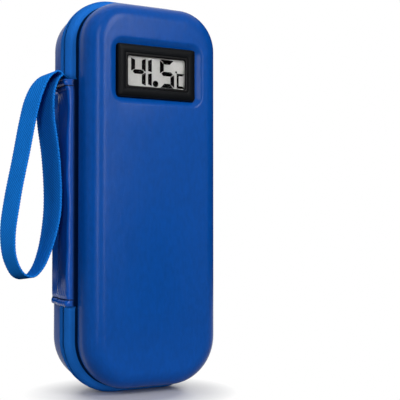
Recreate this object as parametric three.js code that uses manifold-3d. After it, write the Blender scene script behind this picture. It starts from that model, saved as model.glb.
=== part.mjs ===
// Insulin cooling case: two moulded shells zipped together round a cloth hinge,
// with a panel thermometer in the lid. Millimetres, +Z up, front towards -Y.
// The origin is on the floor, under the middle of the zip's bottom run.
import * as THREE from 'three';
import { mergeVertices } from 'three/addons/utils/BufferGeometryUtils.js';
import Module from 'manifold-3d';

const wasm = await Module();
wasm.setup();

// Clearance between pieces that touch
const GAP = 0.3;

// Shells
const CASE_W = 84;
const CASE_H = 217;
const CORNER_TOP = 24;
const CORNER_BOTTOM = 28;
const LID_DEPTH = 26;
const BASE_DEPTH = 30;
const EDGE_ROUND = 10.3;
const WALL = 3.2;
const LINING = 0.8;
const RIM_STEP = 0.9;

// Zip band: two tapes that bulge between the rims, pressed flat where the case stands
const TAPE_W = 11.2;
const TAPE = 0.9;
const TAPE_HEM = 2.6;
const BAND_BULGE = 3.4;
const BAND_CROWN = 2.4;
const BAND_PRESS = 0.9;
const SLIT = 0.9;
const COIL_W = 2.1;
const COIL = 1.5;
const STOP_L = 3.4;

// Hinge strip on the left side, and the strap's sewn end above it
const STRIP_FROM_BOTTOM = 46.8;
const STRIP_FROM_TOP = 44.2;
const STRIP = 1.2;
const STRIP_PROUD = 0.4;
const STRIP_SLIT = 0.6;
const STRIP_HEM = 3.6;
const STRIP_HEM_PROUD = 0.5;
const ANCHOR_H = 8.6;
const ANCHOR_T = 2.2;
const ANCHOR_LAP = 2;
const ANCHOR_CORNER = 1.2;

// Wrist strap
const STRAP_W = 20;
const STRAP = 1.6;
const STRAP_DROP = 2.3;

// Panel thermometer
const METER_FROM_TOP = 39.8;
const METER_W = 48;
const METER_H = 28.6;
const METER_FLANGE = 2.6;
const METER_LIP = 1.0;
const METER_PROUD = 0.7;
const METER_CORNER = 1.2;
const TUB_W = 45.6;
const TUB_H = 26.2;
const TUB_WALL = 1.2;
const TUB_CORNER = 1.5;
const WINDOW_W = 36.2;
const WINDOW_H = 16.5;
const WINDOW_RIM = 1.2;
const WINDOW = 0.8;
const LCD = 1.9;
const ZEBRA_W = 34;
const ZEBRA_H = 2.0;
const ZEBRA = 2.6;
const ZEBRA_CORNER = 0.4;
const BOARD = 1.2;
const CONTACT = 0.4;
const CONTACT_W = 7;
const CELL_R = 5.8;
const CELL_H = 5.2;
const CELL_PITCH = 12.6;
const CELL_X = -6;
const CELL_BAY_END = 1;
const CELL_BAY_SIDE = 0.7;
const CHIP_R = 3.6;
const CHIP_H = 1.3;
const CHIP_X = 13.5;
const COVER = 1.2;
const DOOR = 1.0;
const DOOR_LAP = 1.4;
const DOOR_RAIL = 1.2;
const DOOR_RIB_PITCH = 2;
const DOOR_RIB_L = 7.9;
const DOOR_RIB_W = 0.8;
const DOOR_RIB = 0.4;
const PLATE_CORNER = 1;
const BRIDGE = 0.5;
const SENSOR_R = 2.4;
const SENSOR_L = 3.8;
const SENSOR_X = 16;
const CLIP_H = 8;
const CLIP_L = 6;
const CLIP_REACH = 2.6;
const CLIP_SHOULDER = 1.8;
const CLIP_CREST = 1;
const CLIP_TIP = 0.6;

// Recess in the lid's face round the thermometer
const RECESS = 2.2;
const RECESS_MARGIN = 2.4;
const RECESS_SLOPE = 2.6;
const RECESS_CORNER = 2.5;

// Pockets, packs and pen loops
const PACK_W = 45;
const PACK_L = 125;
const PACK_T = 9.5;
const PACK_EDGE = 4.3;
const PACK_LOW = 14;
const POCKET = 0.8;
const LID_NET_TOP = 120;
const DIVIDER_FROM_TOP = 43.5;
const PEN_LOOPS = 3;
const PEN_PITCH = 22;
const PEN_BORE = 19;
const PEN_RISE = 7.5;
const PEN_BAND = 1.1;
const PEN_BAND_H = 24;
const PEN_BAND_LOWER_Z = 48;
const PEN_BAND_FROM_TOP = 81.5;

// Zip sliders and pulls on the right side
const SLIDER_Z = 112;
const SLIDER_L = 9.5;
const SLIDER_W = 8;
const SLIDER_GAP = 2;
const SLIDER_PLATE = 1.1;
const SLIDER_CORNER = 2;
const SLIDER_BLADE = 0.4;
const SLIDER_BLADE_L = 4.8;
const CROWN_L = 5.2;
const CROWN_W = 1.4;
const CROWN_EYE_L = 2.8;
const CROWN_EYE = 1.5;
const CROWN_BAR = 1.0;
const PULL_L = 12.4;
const PULL_W = 4.4;
const PULL = 0.8;
const PULL_BAR = 1.0;
const PULL_EYE_L = 4.2;
const PULL_EYE_W = 2.4;

// Facets: an arc has twice as many as its curveSegments
const CORNER_STEPS = 8;
const ROUND_STEPS = 5;
const ARC_STEPS = 10;
const DISC_SIDES = 24;
const STRAP_STEPS = 84;
const CHIP_STEPS = 4;
const WELD = 1e-4;

// Points of the band's section, from its hem at 0 to the slit at 1
const BAND_POINTS = [0, 0.12, 0.28, 0.45, 0.65, 1];

// Levels and planes that several pieces share
const RIM_Z = BAND_BULGE - BAND_PRESS;
const RIM_TOP = RIM_Z + CASE_H;
const LINING_INSET = RIM_STEP + WALL + GAP;
const CAVITY_INSET = LINING_INSET + LINING;
const LID_INNER_Y = -LID_DEPTH + WALL + GAP + LINING;
const BASE_INNER_Y = BASE_DEPTH - WALL - GAP - LINING;
const STRIP_LOW = RIM_Z + STRIP_FROM_BOTTOM;
const STRIP_TOP = RIM_TOP - STRIP_FROM_TOP;
const METER_Z = RIM_TOP - METER_FROM_TOP;
const DIVIDER_TOP = RIM_TOP - DIVIDER_FROM_TOP;
const PEN_BAND_UPPER_Z = RIM_TOP - PEN_BAND_FROM_TOP;
const ANCHOR_LOW = STRIP_TOP - ANCHOR_LAP;
const TAPE_START = STRIP_TOP + GAP;
const TAPE_END = STRIP_LOW - GAP;
const SPINE_X = -(CASE_W / 2 + BAND_BULGE + STRIP_PROUD);
const COIL_OUT = BAND_BULGE - TAPE - GAP;

const group = new THREE.Group();

// Finishes
const finish = (color, roughness, metalness = 0) =>
  new THREE.MeshStandardMaterial({ color, roughness, metalness });
const SKIN = finish(0x194d99, 0.55);
const CLOTH = finish(0x17181c, 0.9);
const TAPE_CLOTH = finish(0x1964be, 0.85);
const COIL_NYLON = finish(0x164a8c, 0.5);
const STRIP_SKIN = finish(0x03296a, 0.4);
const WEBBING = finish(0x196abb, 0.8);
const BLACK_PLASTIC = finish(0x23262c, 0.5);
const CLEAR = finish(0xc9ccca, 0.1);
const LCD_GLASS = finish(0xa7a7a5, 0.25);
const RUBBER = finish(0x2a2a2c, 0.7);
const BOARD_GREEN = finish(0x1e6b3a, 0.5);
const EPOXY = finish(0x0b0b0d, 0.35);
const STEEL = finish(0xb9bcc0, 0.3, 1);
const GEL_SKIN = finish(0x0166d2, 0.35);
const ELASTIC = finish(0x101114, 0.9);

function add(name, geometry, material, parent = group) {
  const mesh = new THREE.Mesh(geometry, material);
  mesh.name = name;
  parent.add(mesh);
  return mesh;
}

// Solids for joining and cutting
function toSolid(geometry) {
  const bare = geometry.clone();
  bare.deleteAttribute('normal');
  bare.deleteAttribute('uv');
  const welded = mergeVertices(bare, WELD);
  return new wasm.Manifold(new wasm.Mesh({
    numProp: 3,
    vertProperties: new Float32Array(welded.attributes.position.array),
    triVerts: new Uint32Array(welded.index.array),
  }));
}

function toGeometry(solid) {
  const mesh = solid.getMesh();
  const geometry = new THREE.BufferGeometry();
  geometry.setAttribute('position', new THREE.BufferAttribute(new Float32Array(mesh.vertProperties), 3));
  geometry.setIndex(new THREE.BufferAttribute(new Uint32Array(mesh.triVerts), 1));
  geometry.computeVertexNormals();
  return geometry;
}

const fuse = (first, ...others) =>
  toGeometry(others.reduce((solid, other) => solid.add(toSolid(other)), toSolid(first)));
const cut = (first, ...others) =>
  toGeometry(others.reduce((solid, other) => solid.subtract(toSolid(other)), toSolid(first)));
const common = (first, other) => toGeometry(toSolid(first).intersect(toSolid(other)));

// A box between two corners
function box(low, high) {
  const size = high.map((value, axis) => value - low[axis]);
  const geometry = new THREE.BoxGeometry(...size);
  geometry.translate(...low.map((value, axis) => value + size[axis] / 2));
  return geometry;
}

// A disc along Y between two depths
function disc(radius, y0, y1) {
  const geometry = new THREE.CylinderGeometry(radius, radius, y1 - y0, DISC_SIDES);
  geometry.translate(0, (y0 + y1) / 2, 0);
  return geometry;
}

// A shape drawn in X and Z, thick from y0 to y1
function slab(shape, y0, y1) {
  const geometry = new THREE.ExtrudeGeometry(shape, {
    depth: y1 - y0,
    bevelEnabled: false,
    curveSegments: CORNER_STEPS / 2,
  });
  geometry.rotateX(Math.PI / 2);
  geometry.translate(0, y1, 0);
  return geometry;
}

// A shape drawn in Y and Z, thick from x0 to x1
function slabAcross(shape, x0, x1) {
  const geometry = new THREE.ExtrudeGeometry(shape, {
    depth: x1 - x0,
    bevelEnabled: false,
    curveSegments: CORNER_STEPS / 2,
  });
  geometry.applyMatrix4(new THREE.Matrix4().makeBasis(
    new THREE.Vector3(0, 1, 0),
    new THREE.Vector3(0, 0, 1),
    new THREE.Vector3(1, 0, 0),
  ));
  geometry.translate(x0, 0, 0);
  return geometry;
}

function roundedRectangle(width, height, radius) {
  const x = width / 2 - radius;
  const z = height / 2 - radius;
  const shape = new THREE.Shape();
  shape.absarc(x, -z, radius, -Math.PI / 2, 0);
  shape.absarc(x, z, radius, 0, Math.PI / 2);
  shape.absarc(-x, z, radius, Math.PI / 2, Math.PI);
  shape.absarc(-x, -z, radius, Math.PI, 1.5 * Math.PI);
  return shape;
}

// The rims' outline in X and Z, drawn in by inset
function outline(inset) {
  const half = CASE_W / 2 - inset;
  const low = RIM_Z + inset;
  const high = RIM_TOP - inset;
  const top = CORNER_TOP - inset;
  const bottom = CORNER_BOTTOM - inset;
  const shape = new THREE.Shape();
  shape.absarc(half - bottom, low + bottom, bottom, -Math.PI / 2, 0);
  shape.absarc(half - top, high - top, top, 0, Math.PI / 2);
  shape.absarc(-half + top, high - top, top, Math.PI / 2, Math.PI);
  shape.absarc(-half + bottom, low + bottom, bottom, Math.PI, 1.5 * Math.PI);
  return shape;
}

// A block with the case's outline and rounded ends, from y = -front to y = back
function roundedBlock(inset, round, front, back) {
  const geometry = new THREE.ExtrudeGeometry(outline(inset + round), {
    depth: front + back - 2 * round,
    bevelThickness: round,
    bevelSize: round,
    bevelSegments: ROUND_STEPS,
    curveSegments: CORNER_STEPS / 2,
  });
  geometry.rotateX(Math.PI / 2);
  geometry.translate(0, back - round, 0);
  return geometry;
}

// All space between two depths
const layer = (y0, y1) => box([-CASE_W, y0, -CASE_H], [CASE_W, y1, 2 * CASE_H]);

// A tray open towards the zip: its outer face is at depth y, and it ends at the rim
function tray(inset, round, thickness, depth, side) {
  const inner = Math.max(round - thickness, thickness);
  const reach = (length, ends) => (side < 0 ? [length, ends] : [ends, length]);
  const outerBlock = roundedBlock(inset, round, ...reach(depth, round));
  const innerBlock = roundedBlock(inset + thickness, inner, ...reach(depth - thickness, inner));
  const kept = side < 0 ? layer(-2 * depth, -TAPE_W) : layer(TAPE_W, 2 * depth);
  return common(cut(outerBlock, innerBlock), kept);
}

// Stations round the rim from the left side at startZ, over the top, to the left side at endZ
function rimStations(startZ, endZ) {
  const half = CASE_W / 2;
  const station = (x, z, angle) => ({ x, z, nx: Math.cos(angle), nz: Math.sin(angle) });
  const corner = (x, z, radius, from) => Array.from({ length: CORNER_STEPS + 1 }, (_, step) => {
    const angle = from - (step / CORNER_STEPS) * (Math.PI / 2);
    return station(x + radius * Math.cos(angle), z + radius * Math.sin(angle), angle);
  });
  return [
    station(-half, startZ, Math.PI),
    ...corner(-half + CORNER_TOP, RIM_TOP - CORNER_TOP, CORNER_TOP, Math.PI),
    ...corner(half - CORNER_TOP, RIM_TOP - CORNER_TOP, CORNER_TOP, Math.PI / 2),
    ...corner(half - CORNER_BOTTOM, RIM_Z + CORNER_BOTTOM, CORNER_BOTTOM, 0),
    ...corner(-half + CORNER_BOTTOM, RIM_Z + CORNER_BOTTOM, CORNER_BOTTOM, -Math.PI / 2),
    station(-half, endZ, -Math.PI),
  ];
}

// A closed skin swept along stations. Each point of the section has its depth y, its height n
// over the rim's outline, and outer, the height of the outer face there, which the floor presses in.
function sweep(stations, section) {
  const flat = section.map(({ n, y }) => new THREE.Vector2(n, y));
  const turn = Math.sign(THREE.ShapeUtils.area(flat));
  const cap = THREE.ShapeUtils.triangulateShape(flat, []).map((triangle) => {
    const area = THREE.ShapeUtils.area(triangle.map((index) => flat[index]));
    return Math.sign(area) === turn ? triangle : [...triangle].reverse();
  });
  const positions = stations.flatMap(({ x, z, nx, nz, proud = 0 }) => section.flatMap(({ n, y, outer }) => {
    const lift = Math.max(0, -(z + nz * outer));
    const height = n + (n === outer ? proud : 0);
    return [x + nx * height, y, z + nz * height + lift];
  }));
  const count = section.length;
  const last = (stations.length - 1) * count;
  const triangles = [];
  for (let ring = 0; ring < last; ring += count) {
    for (let point = 0; point < count; point += 1) {
      const a = ring + point;
      const b = ring + ((point + 1) % count);
      triangles.push([a, b, b + count], [a, b + count, a + count]);
    }
  }
  cap.forEach((triangle) => {
    triangles.push([...triangle].reverse());
    triangles.push(triangle.map((index) => index + last));
  });
  const geometry = new THREE.BufferGeometry();
  geometry.setAttribute('position', new THREE.Float32BufferAttribute(positions, 3));
  geometry.setIndex(triangles.flat());
  if (signedVolume(geometry) < 0) {
    geometry.setIndex(triangles.flatMap((triangle) => [...triangle].reverse()));
  }
  geometry.computeVertexNormals();
  return geometry;
}

function signedVolume(geometry) {
  const { index, attributes } = geometry;
  const corners = [0, 1, 2].map(() => new THREE.Vector3());
  let volume = 0;
  for (let face = 0; face < index.count; face += 3) {
    corners.forEach((corner, k) => corner.fromBufferAttribute(attributes.position, index.getX(face + k)));
    volume += corners[0].dot(corners[1].clone().cross(corners[2])) / 6;
  }
  return volume;
}

// How far the band's outer face stands over the rims' outline at depth y
const bandHeight = (y) => BAND_BULGE * (1 - Math.abs(y / TAPE_W) ** BAND_CROWN);

// Section of one half of the band, on the lid's side for side = -1, with its hem on the rim's face
function bandSection(side, thickness, proud, slit) {
  const start = TAPE_W - GAP;
  const end = slit / 2;
  const depths = BAND_POINTS.map((fraction) => side * (start + (end - start) * fraction));
  const outer = depths.map((y) => ({ y, n: bandHeight(y) + proud, outer: bandHeight(y) + proud }));
  const inner = depths.slice(1).reverse().map((y) => {
    const height = bandHeight(y) + proud;
    return { y, n: height - thickness, outer: height };
  });
  const hemHeight = -RIM_STEP - TAPE_HEM;
  const hem = [depths[1], depths[0]].map((y) => ({ y, n: hemHeight, outer: bandHeight(y) + proud }));
  return [...outer, ...inner, ...hem];
}

// Section of a bar along the band's middle, under the tape
function barSection(side, low, high) {
  const near = side * (SLIT / 2);
  const far = side * (SLIT / 2 + COIL_W);
  const corners = [[near, low], [near, high], [far, high], [far, low]];
  return corners.map(([y, n]) => ({ y, n, outer: BAND_BULGE }));
}

// Shells and linings
const recessW = METER_W + 2 * RECESS_MARGIN;
const recessH = METER_H + 2 * RECESS_MARGIN;
const bossW = recessW + 2 * RECESS_SLOPE;
const bossH = recessH + 2 * RECESS_SLOPE;
const bossInnerY = -LID_DEPTH + RECESS + WALL;
const bossOutline = (margin) =>
  roundedRectangle(bossW + 2 * margin, bossH + 2 * margin, RECESS_CORNER + RECESS_SLOPE);

function lidShell() {
  const face = -LID_DEPTH;
  const boss = slab(bossOutline(0), face + WALL / 2, bossInnerY);
  const recess = new THREE.ExtrudeGeometry(roundedRectangle(recessW, recessH, RECESS_CORNER), {
    depth: RECESS,
    bevelThickness: RECESS,
    bevelSize: RECESS_SLOPE,
    bevelSegments: ROUND_STEPS,
    curveSegments: CORNER_STEPS / 2,
  });
  recess.rotateX(-Math.PI / 2);
  recess.translate(0, face - RECESS, 0);
  const hole = slab(roundedRectangle(TUB_W + 2 * GAP, TUB_H + 2 * GAP, TUB_CORNER), face, 0);
  [boss, recess, hole].forEach((tool) => tool.translate(0, 0, METER_Z));
  return cut(fuse(tray(RIM_STEP, EDGE_ROUND, WALL, LID_DEPTH, -1), boss), recess, hole);
}

function lidLining() {
  const depth = LID_DEPTH - WALL - GAP;
  const hole = slab(bossOutline(GAP), -LID_DEPTH, 0);
  hole.translate(0, 0, METER_Z);
  return cut(tray(LINING_INSET, EDGE_ROUND - WALL, LINING, depth, -1), hole);
}

add('lid_shell', lidShell(), SKIN);
add('lid_lining', lidLining(), CLOTH);
add('base_shell', tray(RIM_STEP, EDGE_ROUND, WALL, BASE_DEPTH, 1), SKIN);
add('base_lining', tray(LINING_INSET, EDGE_ROUND - WALL, LINING, BASE_DEPTH - WALL - GAP, 1), CLOTH);

// Zip tapes and coils, from above the strap's end round to the strip's lower end
const tapeStations = rimStations(TAPE_START, TAPE_END);
const coilStations = rimStations(TAPE_START + STOP_L + GAP, TAPE_END - STOP_L - GAP);
for (const [name, side] of [['lid', -1], ['base', 1]]) {
  add(`zip_tape_${name}`, sweep(tapeStations, bandSection(side, TAPE, 0, SLIT)), TAPE_CLOTH);
  add(`zip_coil_${name}`, sweep(coilStations, barSection(side, COIL_OUT - COIL, COIL_OUT)), COIL_NYLON);
}
for (const [name, low] of [['top', TAPE_START], ['bottom', TAPE_END - STOP_L]]) {
  const stations = [low, low + STOP_L].map((z) => ({ x: -CASE_W / 2, z, nx: -1, nz: 0 }));
  add(`zip_stop_${name}`, sweep(stations, barSection(1, COIL_OUT - COIL, COIL_OUT)), STEEL);
}

// Hinge strip: two halves of one sewn strip, with a turned hem at each end
const stripStations = [
  [STRIP_LOW, STRIP_HEM_PROUD],
  [STRIP_LOW + STRIP_HEM, STRIP_HEM_PROUD],
  [STRIP_LOW + STRIP_HEM + STRIP_HEM_PROUD, 0],
  [STRIP_TOP - STRIP_HEM - STRIP_HEM_PROUD, 0],
  [STRIP_TOP - STRIP_HEM, STRIP_HEM_PROUD],
  [STRIP_TOP, STRIP_HEM_PROUD],
].map(([z, proud]) => ({ x: -CASE_W / 2, z, nx: -1, nz: 0, proud }));
for (const [name, side] of [['front', -1], ['rear', 1]]) {
  const section = bandSection(side, STRIP, STRIP_PROUD, STRIP_SLIT);
  add(`spine_strip_${name}`, sweep(stripStations, section), STRIP_SKIN);
}

// Strap's sewn end: a flat tab on the strip's upper hem
const anchorInner = SPINE_X - STRIP_HEM_PROUD - GAP;
const anchorOuter = anchorInner - ANCHOR_T;

function strapAnchor() {
  const geometry = slabAcross(roundedRectangle(STRAP_W, ANCHOR_H, ANCHOR_CORNER), anchorOuter, anchorInner);
  geometry.translate(0, 0, ANCHOR_LOW + ANCHOR_H / 2);
  return geometry;
}

// Wrist strap: a webbing loop that hangs from its sewn end, in X and Z from that end's outer face
function wristStrap() {
  const route = [
    [-1.1, 0], [-3.2, 1.3], [-6.6, -0.9], [-10.4, -6], [-14.6, -15.8], [-17.6, -27.6],
    [-21.3, -47], [-26.2, -71.8], [-28.5, -91.2], [-27, -104.2], [-22.2, -112.6], [-17, -114],
    [-12, -109.6], [-7.2, -98.6], [-3.6, -82], [-2.9, -69], [-4.3, -46.6], [-7.2, -26],
    [-7.2, -14], [-5, -5.6], [-3, -1.9],
  ];
  const originZ = ANCHOR_LOW + ANCHOR_H - STRAP_DROP;
  const loop = new THREE.CatmullRomCurve3(
    route.map(([x, z]) => new THREE.Vector3(anchorOuter + x, 0, originZ + z)),
    true,
  );
  const edge = (offset) => Array.from({ length: STRAP_STEPS }, (_, step) => {
    const along = step / STRAP_STEPS;
    const point = loop.getPointAt(along);
    const tangent = loop.getTangentAt(along);
    return new THREE.Vector2(point.x + tangent.z * offset, point.z - tangent.x * offset);
  });
  const shape = new THREE.Shape(edge(STRAP / 2));
  shape.holes.push(new THREE.Path(edge(-STRAP / 2)));
  return slab(shape, -STRAP_W / 2, STRAP_W / 2);
}

add('strap_anchor', strapAnchor(), WEBBING);
add('wrist_strap', wristStrap(), WEBBING);

// Panel thermometer, seen from the lid's face: y grows inwards
const meter = new THREE.Group();
meter.position.set(0, -LID_DEPTH, METER_Z);
group.add(meter);

const flangeFront = -METER_PROUD;
const flangeRear = flangeFront + METER_FLANGE;
const windowFront = flangeFront + METER_LIP + GAP;
const lcdFront = windowFront + WINDOW + GAP;
const zebraFront = lcdFront + LCD + GAP;
const boardFront = zebraFront + ZEBRA + GAP;
const contactFront = boardFront + BOARD + GAP;
const cellFront = contactFront + CONTACT + GAP;
const coverFront = cellFront + CELL_H + GAP;
const tubRear = coverFront - GAP;
const coverRear = coverFront + COVER;
const doorFront = coverRear + GAP;
const lensW = WINDOW_W + 2 * WINDOW_RIM;
const lensH = WINDOW_H + 2 * WINDOW_RIM;
const boxW = TUB_W - 2 * TUB_WALL;
const boxH = TUB_H - 2 * TUB_WALL;
const cellBayW = 2 * CELL_R + CELL_PITCH + 2 * CELL_BAY_END;
const cellBayH = 2 * CELL_R + 2 * CELL_BAY_SIDE;
const doorW = cellBayW + 2 * DOOR_LAP;
const doorH = cellBayH + 2 * DOOR_LAP;

function thermometerCase() {
  const flange = slab(roundedRectangle(METER_W, METER_H, METER_CORNER), flangeFront, flangeRear);
  const tub = slab(roundedRectangle(TUB_W, TUB_H, TUB_CORNER), flangeFront + METER_LIP, tubRear);
  const bay = slab(roundedRectangle(boxW, boxH, TUB_WALL), flangeFront + METER_LIP, tubRear + COVER);
  const opening = slab(roundedRectangle(WINDOW_W, WINDOW_H, WINDOW_RIM), flangeFront - METER_LIP, tubRear);
  return cut(fuse(flange, tub), bay, opening);
}

function rearCover() {
  const plate = slab(roundedRectangle(TUB_W, TUB_H, TUB_CORNER), coverFront, coverRear);
  const bayOutline = roundedRectangle(cellBayW, cellBayH, PLATE_CORNER);
  const bay = slab(bayOutline, coverFront - COVER, coverRear + COVER);
  bay.translate(CELL_X, 0, 0);
  const railLow = doorH / 2 + GAP;
  const rails = [-1, 1].map((side) => {
    const z = side * (railLow + DOOR_RAIL / 2);
    return box(
      [CELL_X - doorW / 2, coverFront, z - DOOR_RAIL / 2],
      [CELL_X + doorW / 2, doorFront + DOOR, z + DOOR_RAIL / 2],
    );
  });
  return fuse(cut(plate, bay), ...rails);
}

function batteryDoor() {
  const plate = slab(roundedRectangle(doorW, doorH, PLATE_CORNER), doorFront, doorFront + DOOR);
  const ribs = [-1, 0, 1].map((step) => box(
    [step * DOOR_RIB_PITCH - DOOR_RIB_W / 2, doorFront + DOOR / 2, -DOOR_RIB_L / 2],
    [step * DOOR_RIB_PITCH + DOOR_RIB_W / 2, doorFront + DOOR + DOOR_RIB, DOOR_RIB_L / 2],
  ));
  return fuse(plate, ...ribs);
}

// A sprung wedge on the tub's side that holds the lid's wall against the flange
function clip(side) {
  const start = bossInnerY + LID_DEPTH + GAP;
  const root = side * (TUB_W / 2 + GAP);
  const profile = [
    [0, start],
    [CLIP_REACH, start],
    [CLIP_SHOULDER, start + CLIP_CREST],
    [CLIP_TIP, start + CLIP_L],
    [0, start + CLIP_L],
  ];
  const shape = new THREE.Shape(profile.map(([x, y]) => new THREE.Vector2(root + side * x, y)));
  const geometry = new THREE.ExtrudeGeometry(shape, { depth: CLIP_H, bevelEnabled: false });
  geometry.translate(0, 0, -CLIP_H / 2);
  return geometry;
}

function chipBlob() {
  const dome = Array.from({ length: CHIP_STEPS }, (_, step) => {
    const angle = (step / CHIP_STEPS) * (Math.PI / 2);
    return new THREE.Vector2(CHIP_R * Math.cos(angle), CHIP_H * Math.sin(angle));
  });
  const profile = [new THREE.Vector2(0, 0), ...dome, new THREE.Vector2(0, CHIP_H)];
  return new THREE.LatheGeometry(profile, DISC_SIDES / 2);
}

// A flat plate in the tub, with its front face at depth y
const plate = (width, height, y, thickness) =>
  slab(roundedRectangle(width, height, PLATE_CORNER), y, y + thickness);
const fittedPlate = (y, thickness) => plate(boxW - 2 * GAP, boxH - 2 * GAP, y, thickness);

add('thermo_case', thermometerCase(), BLACK_PLASTIC, meter);
add('thermo_window', plate(lensW, lensH, windowFront, WINDOW), CLEAR, meter);
add('lcd_panel', fittedPlate(lcdFront, LCD), LCD_GLASS, meter);
for (const [name, side] of [['upper', 1], ['lower', -1]]) {
  const z = side * (boxH / 2 - GAP - ZEBRA_H);
  const strip = slab(roundedRectangle(ZEBRA_W, ZEBRA_H, ZEBRA_CORNER), zebraFront, zebraFront + ZEBRA);
  add(`zebra_${name}`, strip, RUBBER, meter).position.z = z;
}
add('circuit_board', fittedPlate(boardFront, BOARD), BOARD_GREEN, meter);
add('chip_blob', chipBlob(), EPOXY, meter).position.set(CHIP_X, boardFront + BOARD + GAP, 0);
for (const [name, side] of [['left', -1], ['right', 1]]) {
  const x = CELL_X + side * CELL_PITCH / 2;
  const contact = plate(CONTACT_W, CONTACT_W, contactFront, CONTACT);
  const cell = disc(CELL_R, cellFront, cellFront + CELL_H);
  add(`contact_${name}`, contact, STEEL, meter).position.x = x;
  add(`cell_${name}`, cell, STEEL, meter).position.x = x;
  add(`clip_${name}`, clip(side), BLACK_PLASTIC, meter);
}
const bridge = plate(CELL_PITCH + CONTACT_W, CONTACT_W, coverFront, BRIDGE);
add('cell_bridge', bridge, STEEL, meter).position.x = CELL_X;
add('rear_cover', rearCover(), BLACK_PLASTIC, meter);
add('battery_door', batteryDoor(), BLACK_PLASTIC, meter).position.x = CELL_X;
const sensor = disc(SENSOR_R, doorFront, doorFront + SENSOR_L);
add('temperature_sensor', sensor, STEEL, meter).position.x = SENSOR_X;

// Pockets
const below = (top) => box([-CASE_W, -CASE_W, -CASE_H], [CASE_W, CASE_W, top]);
const netInset = RIM_STEP + TAPE_HEM + GAP;
const netRear = -TAPE_W + GAP + POCKET;
const netSheet = slab(outline(netInset), netRear - POCKET, netRear);
add('lid_net', common(netSheet, below(LID_NET_TOP)), CLOTH);

const packFrontLid = LID_INNER_Y + GAP;
const packFrontBase = BASE_INNER_Y - GAP - PACK_T;
const dividerRear = packFrontBase - GAP;
const dividerFront = dividerRear - POCKET;
const dividerSheet = slab(outline(CAVITY_INSET + GAP), dividerFront, dividerRear);
add('base_divider', common(dividerSheet, below(DIVIDER_TOP)), CLOTH);

// Cold packs: sealed stadium pads with full rounded edges
function gelPack(front) {
  const middle = roundedRectangle(
    PACK_W - 2 * PACK_EDGE,
    PACK_L - 2 * PACK_EDGE,
    PACK_W / 2 - PACK_EDGE,
  );
  const geometry = new THREE.ExtrudeGeometry(middle, {
    depth: PACK_T - 2 * PACK_EDGE,
    bevelThickness: PACK_EDGE,
    bevelSize: PACK_EDGE,
    bevelSegments: ROUND_STEPS,
    curveSegments: CORNER_STEPS / 2,
  });
  geometry.rotateX(Math.PI / 2);
  geometry.translate(0, front + PACK_T - PACK_EDGE, PACK_LOW + PACK_L / 2);
  return geometry;
}
add('gel_pack_lid', gelPack(packFrontLid), GEL_SKIN);
add('gel_pack_base', gelPack(packFrontBase), GEL_SKIN);

// Elastic band with arched loops for pens, sewn to the divider
function penBand(low) {
  const back = dividerFront - GAP;
  const foot = back - PEN_BAND;
  const spring = foot - PEN_RISE;
  const bore = PEN_BORE / 2;
  const over = bore + PEN_BAND;
  const centres = Array.from({ length: PEN_LOOPS }, (_, loop) => (loop - (PEN_LOOPS - 1) / 2) * PEN_PITCH);
  const half = centres[PEN_LOOPS - 1] + over + PEN_BAND;
  const shape = new THREE.Shape();
  shape.moveTo(half, back);
  shape.lineTo(-half, back);
  shape.lineTo(-half, foot);
  centres.forEach((x) => {
    shape.lineTo(x - over, foot);
    shape.lineTo(x - over, spring);
    shape.absarc(x, spring, over, Math.PI, 2 * Math.PI);
    shape.lineTo(x + over, foot);
    const hole = new THREE.Path();
    hole.moveTo(x - bore, foot);
    hole.lineTo(x - bore, spring);
    hole.absarc(x, spring, bore, Math.PI, 2 * Math.PI);
    hole.lineTo(x + bore, foot);
    shape.holes.push(hole);
  });
  shape.lineTo(half, foot);
  const geometry = new THREE.ExtrudeGeometry(shape, {
    depth: PEN_BAND_H,
    bevelEnabled: false,
    curveSegments: ARC_STEPS / 2,
  });
  geometry.translate(0, 0, low);
  return geometry;
}
add('pen_band_upper', penBand(PEN_BAND_UPPER_Z), ELASTIC);
add('pen_band_lower', penBand(PEN_BAND_LOWER_Z), ELASTIC);

// Zip sliders: an outer and an inner plate on a thin blade in the slit, with an eye for the pull
const crownZ = SLIDER_L / 2 - CROWN_L / 2;
const eyeLow = GAP;
const pivotX = eyeLow + CROWN_EYE / 2;

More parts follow.
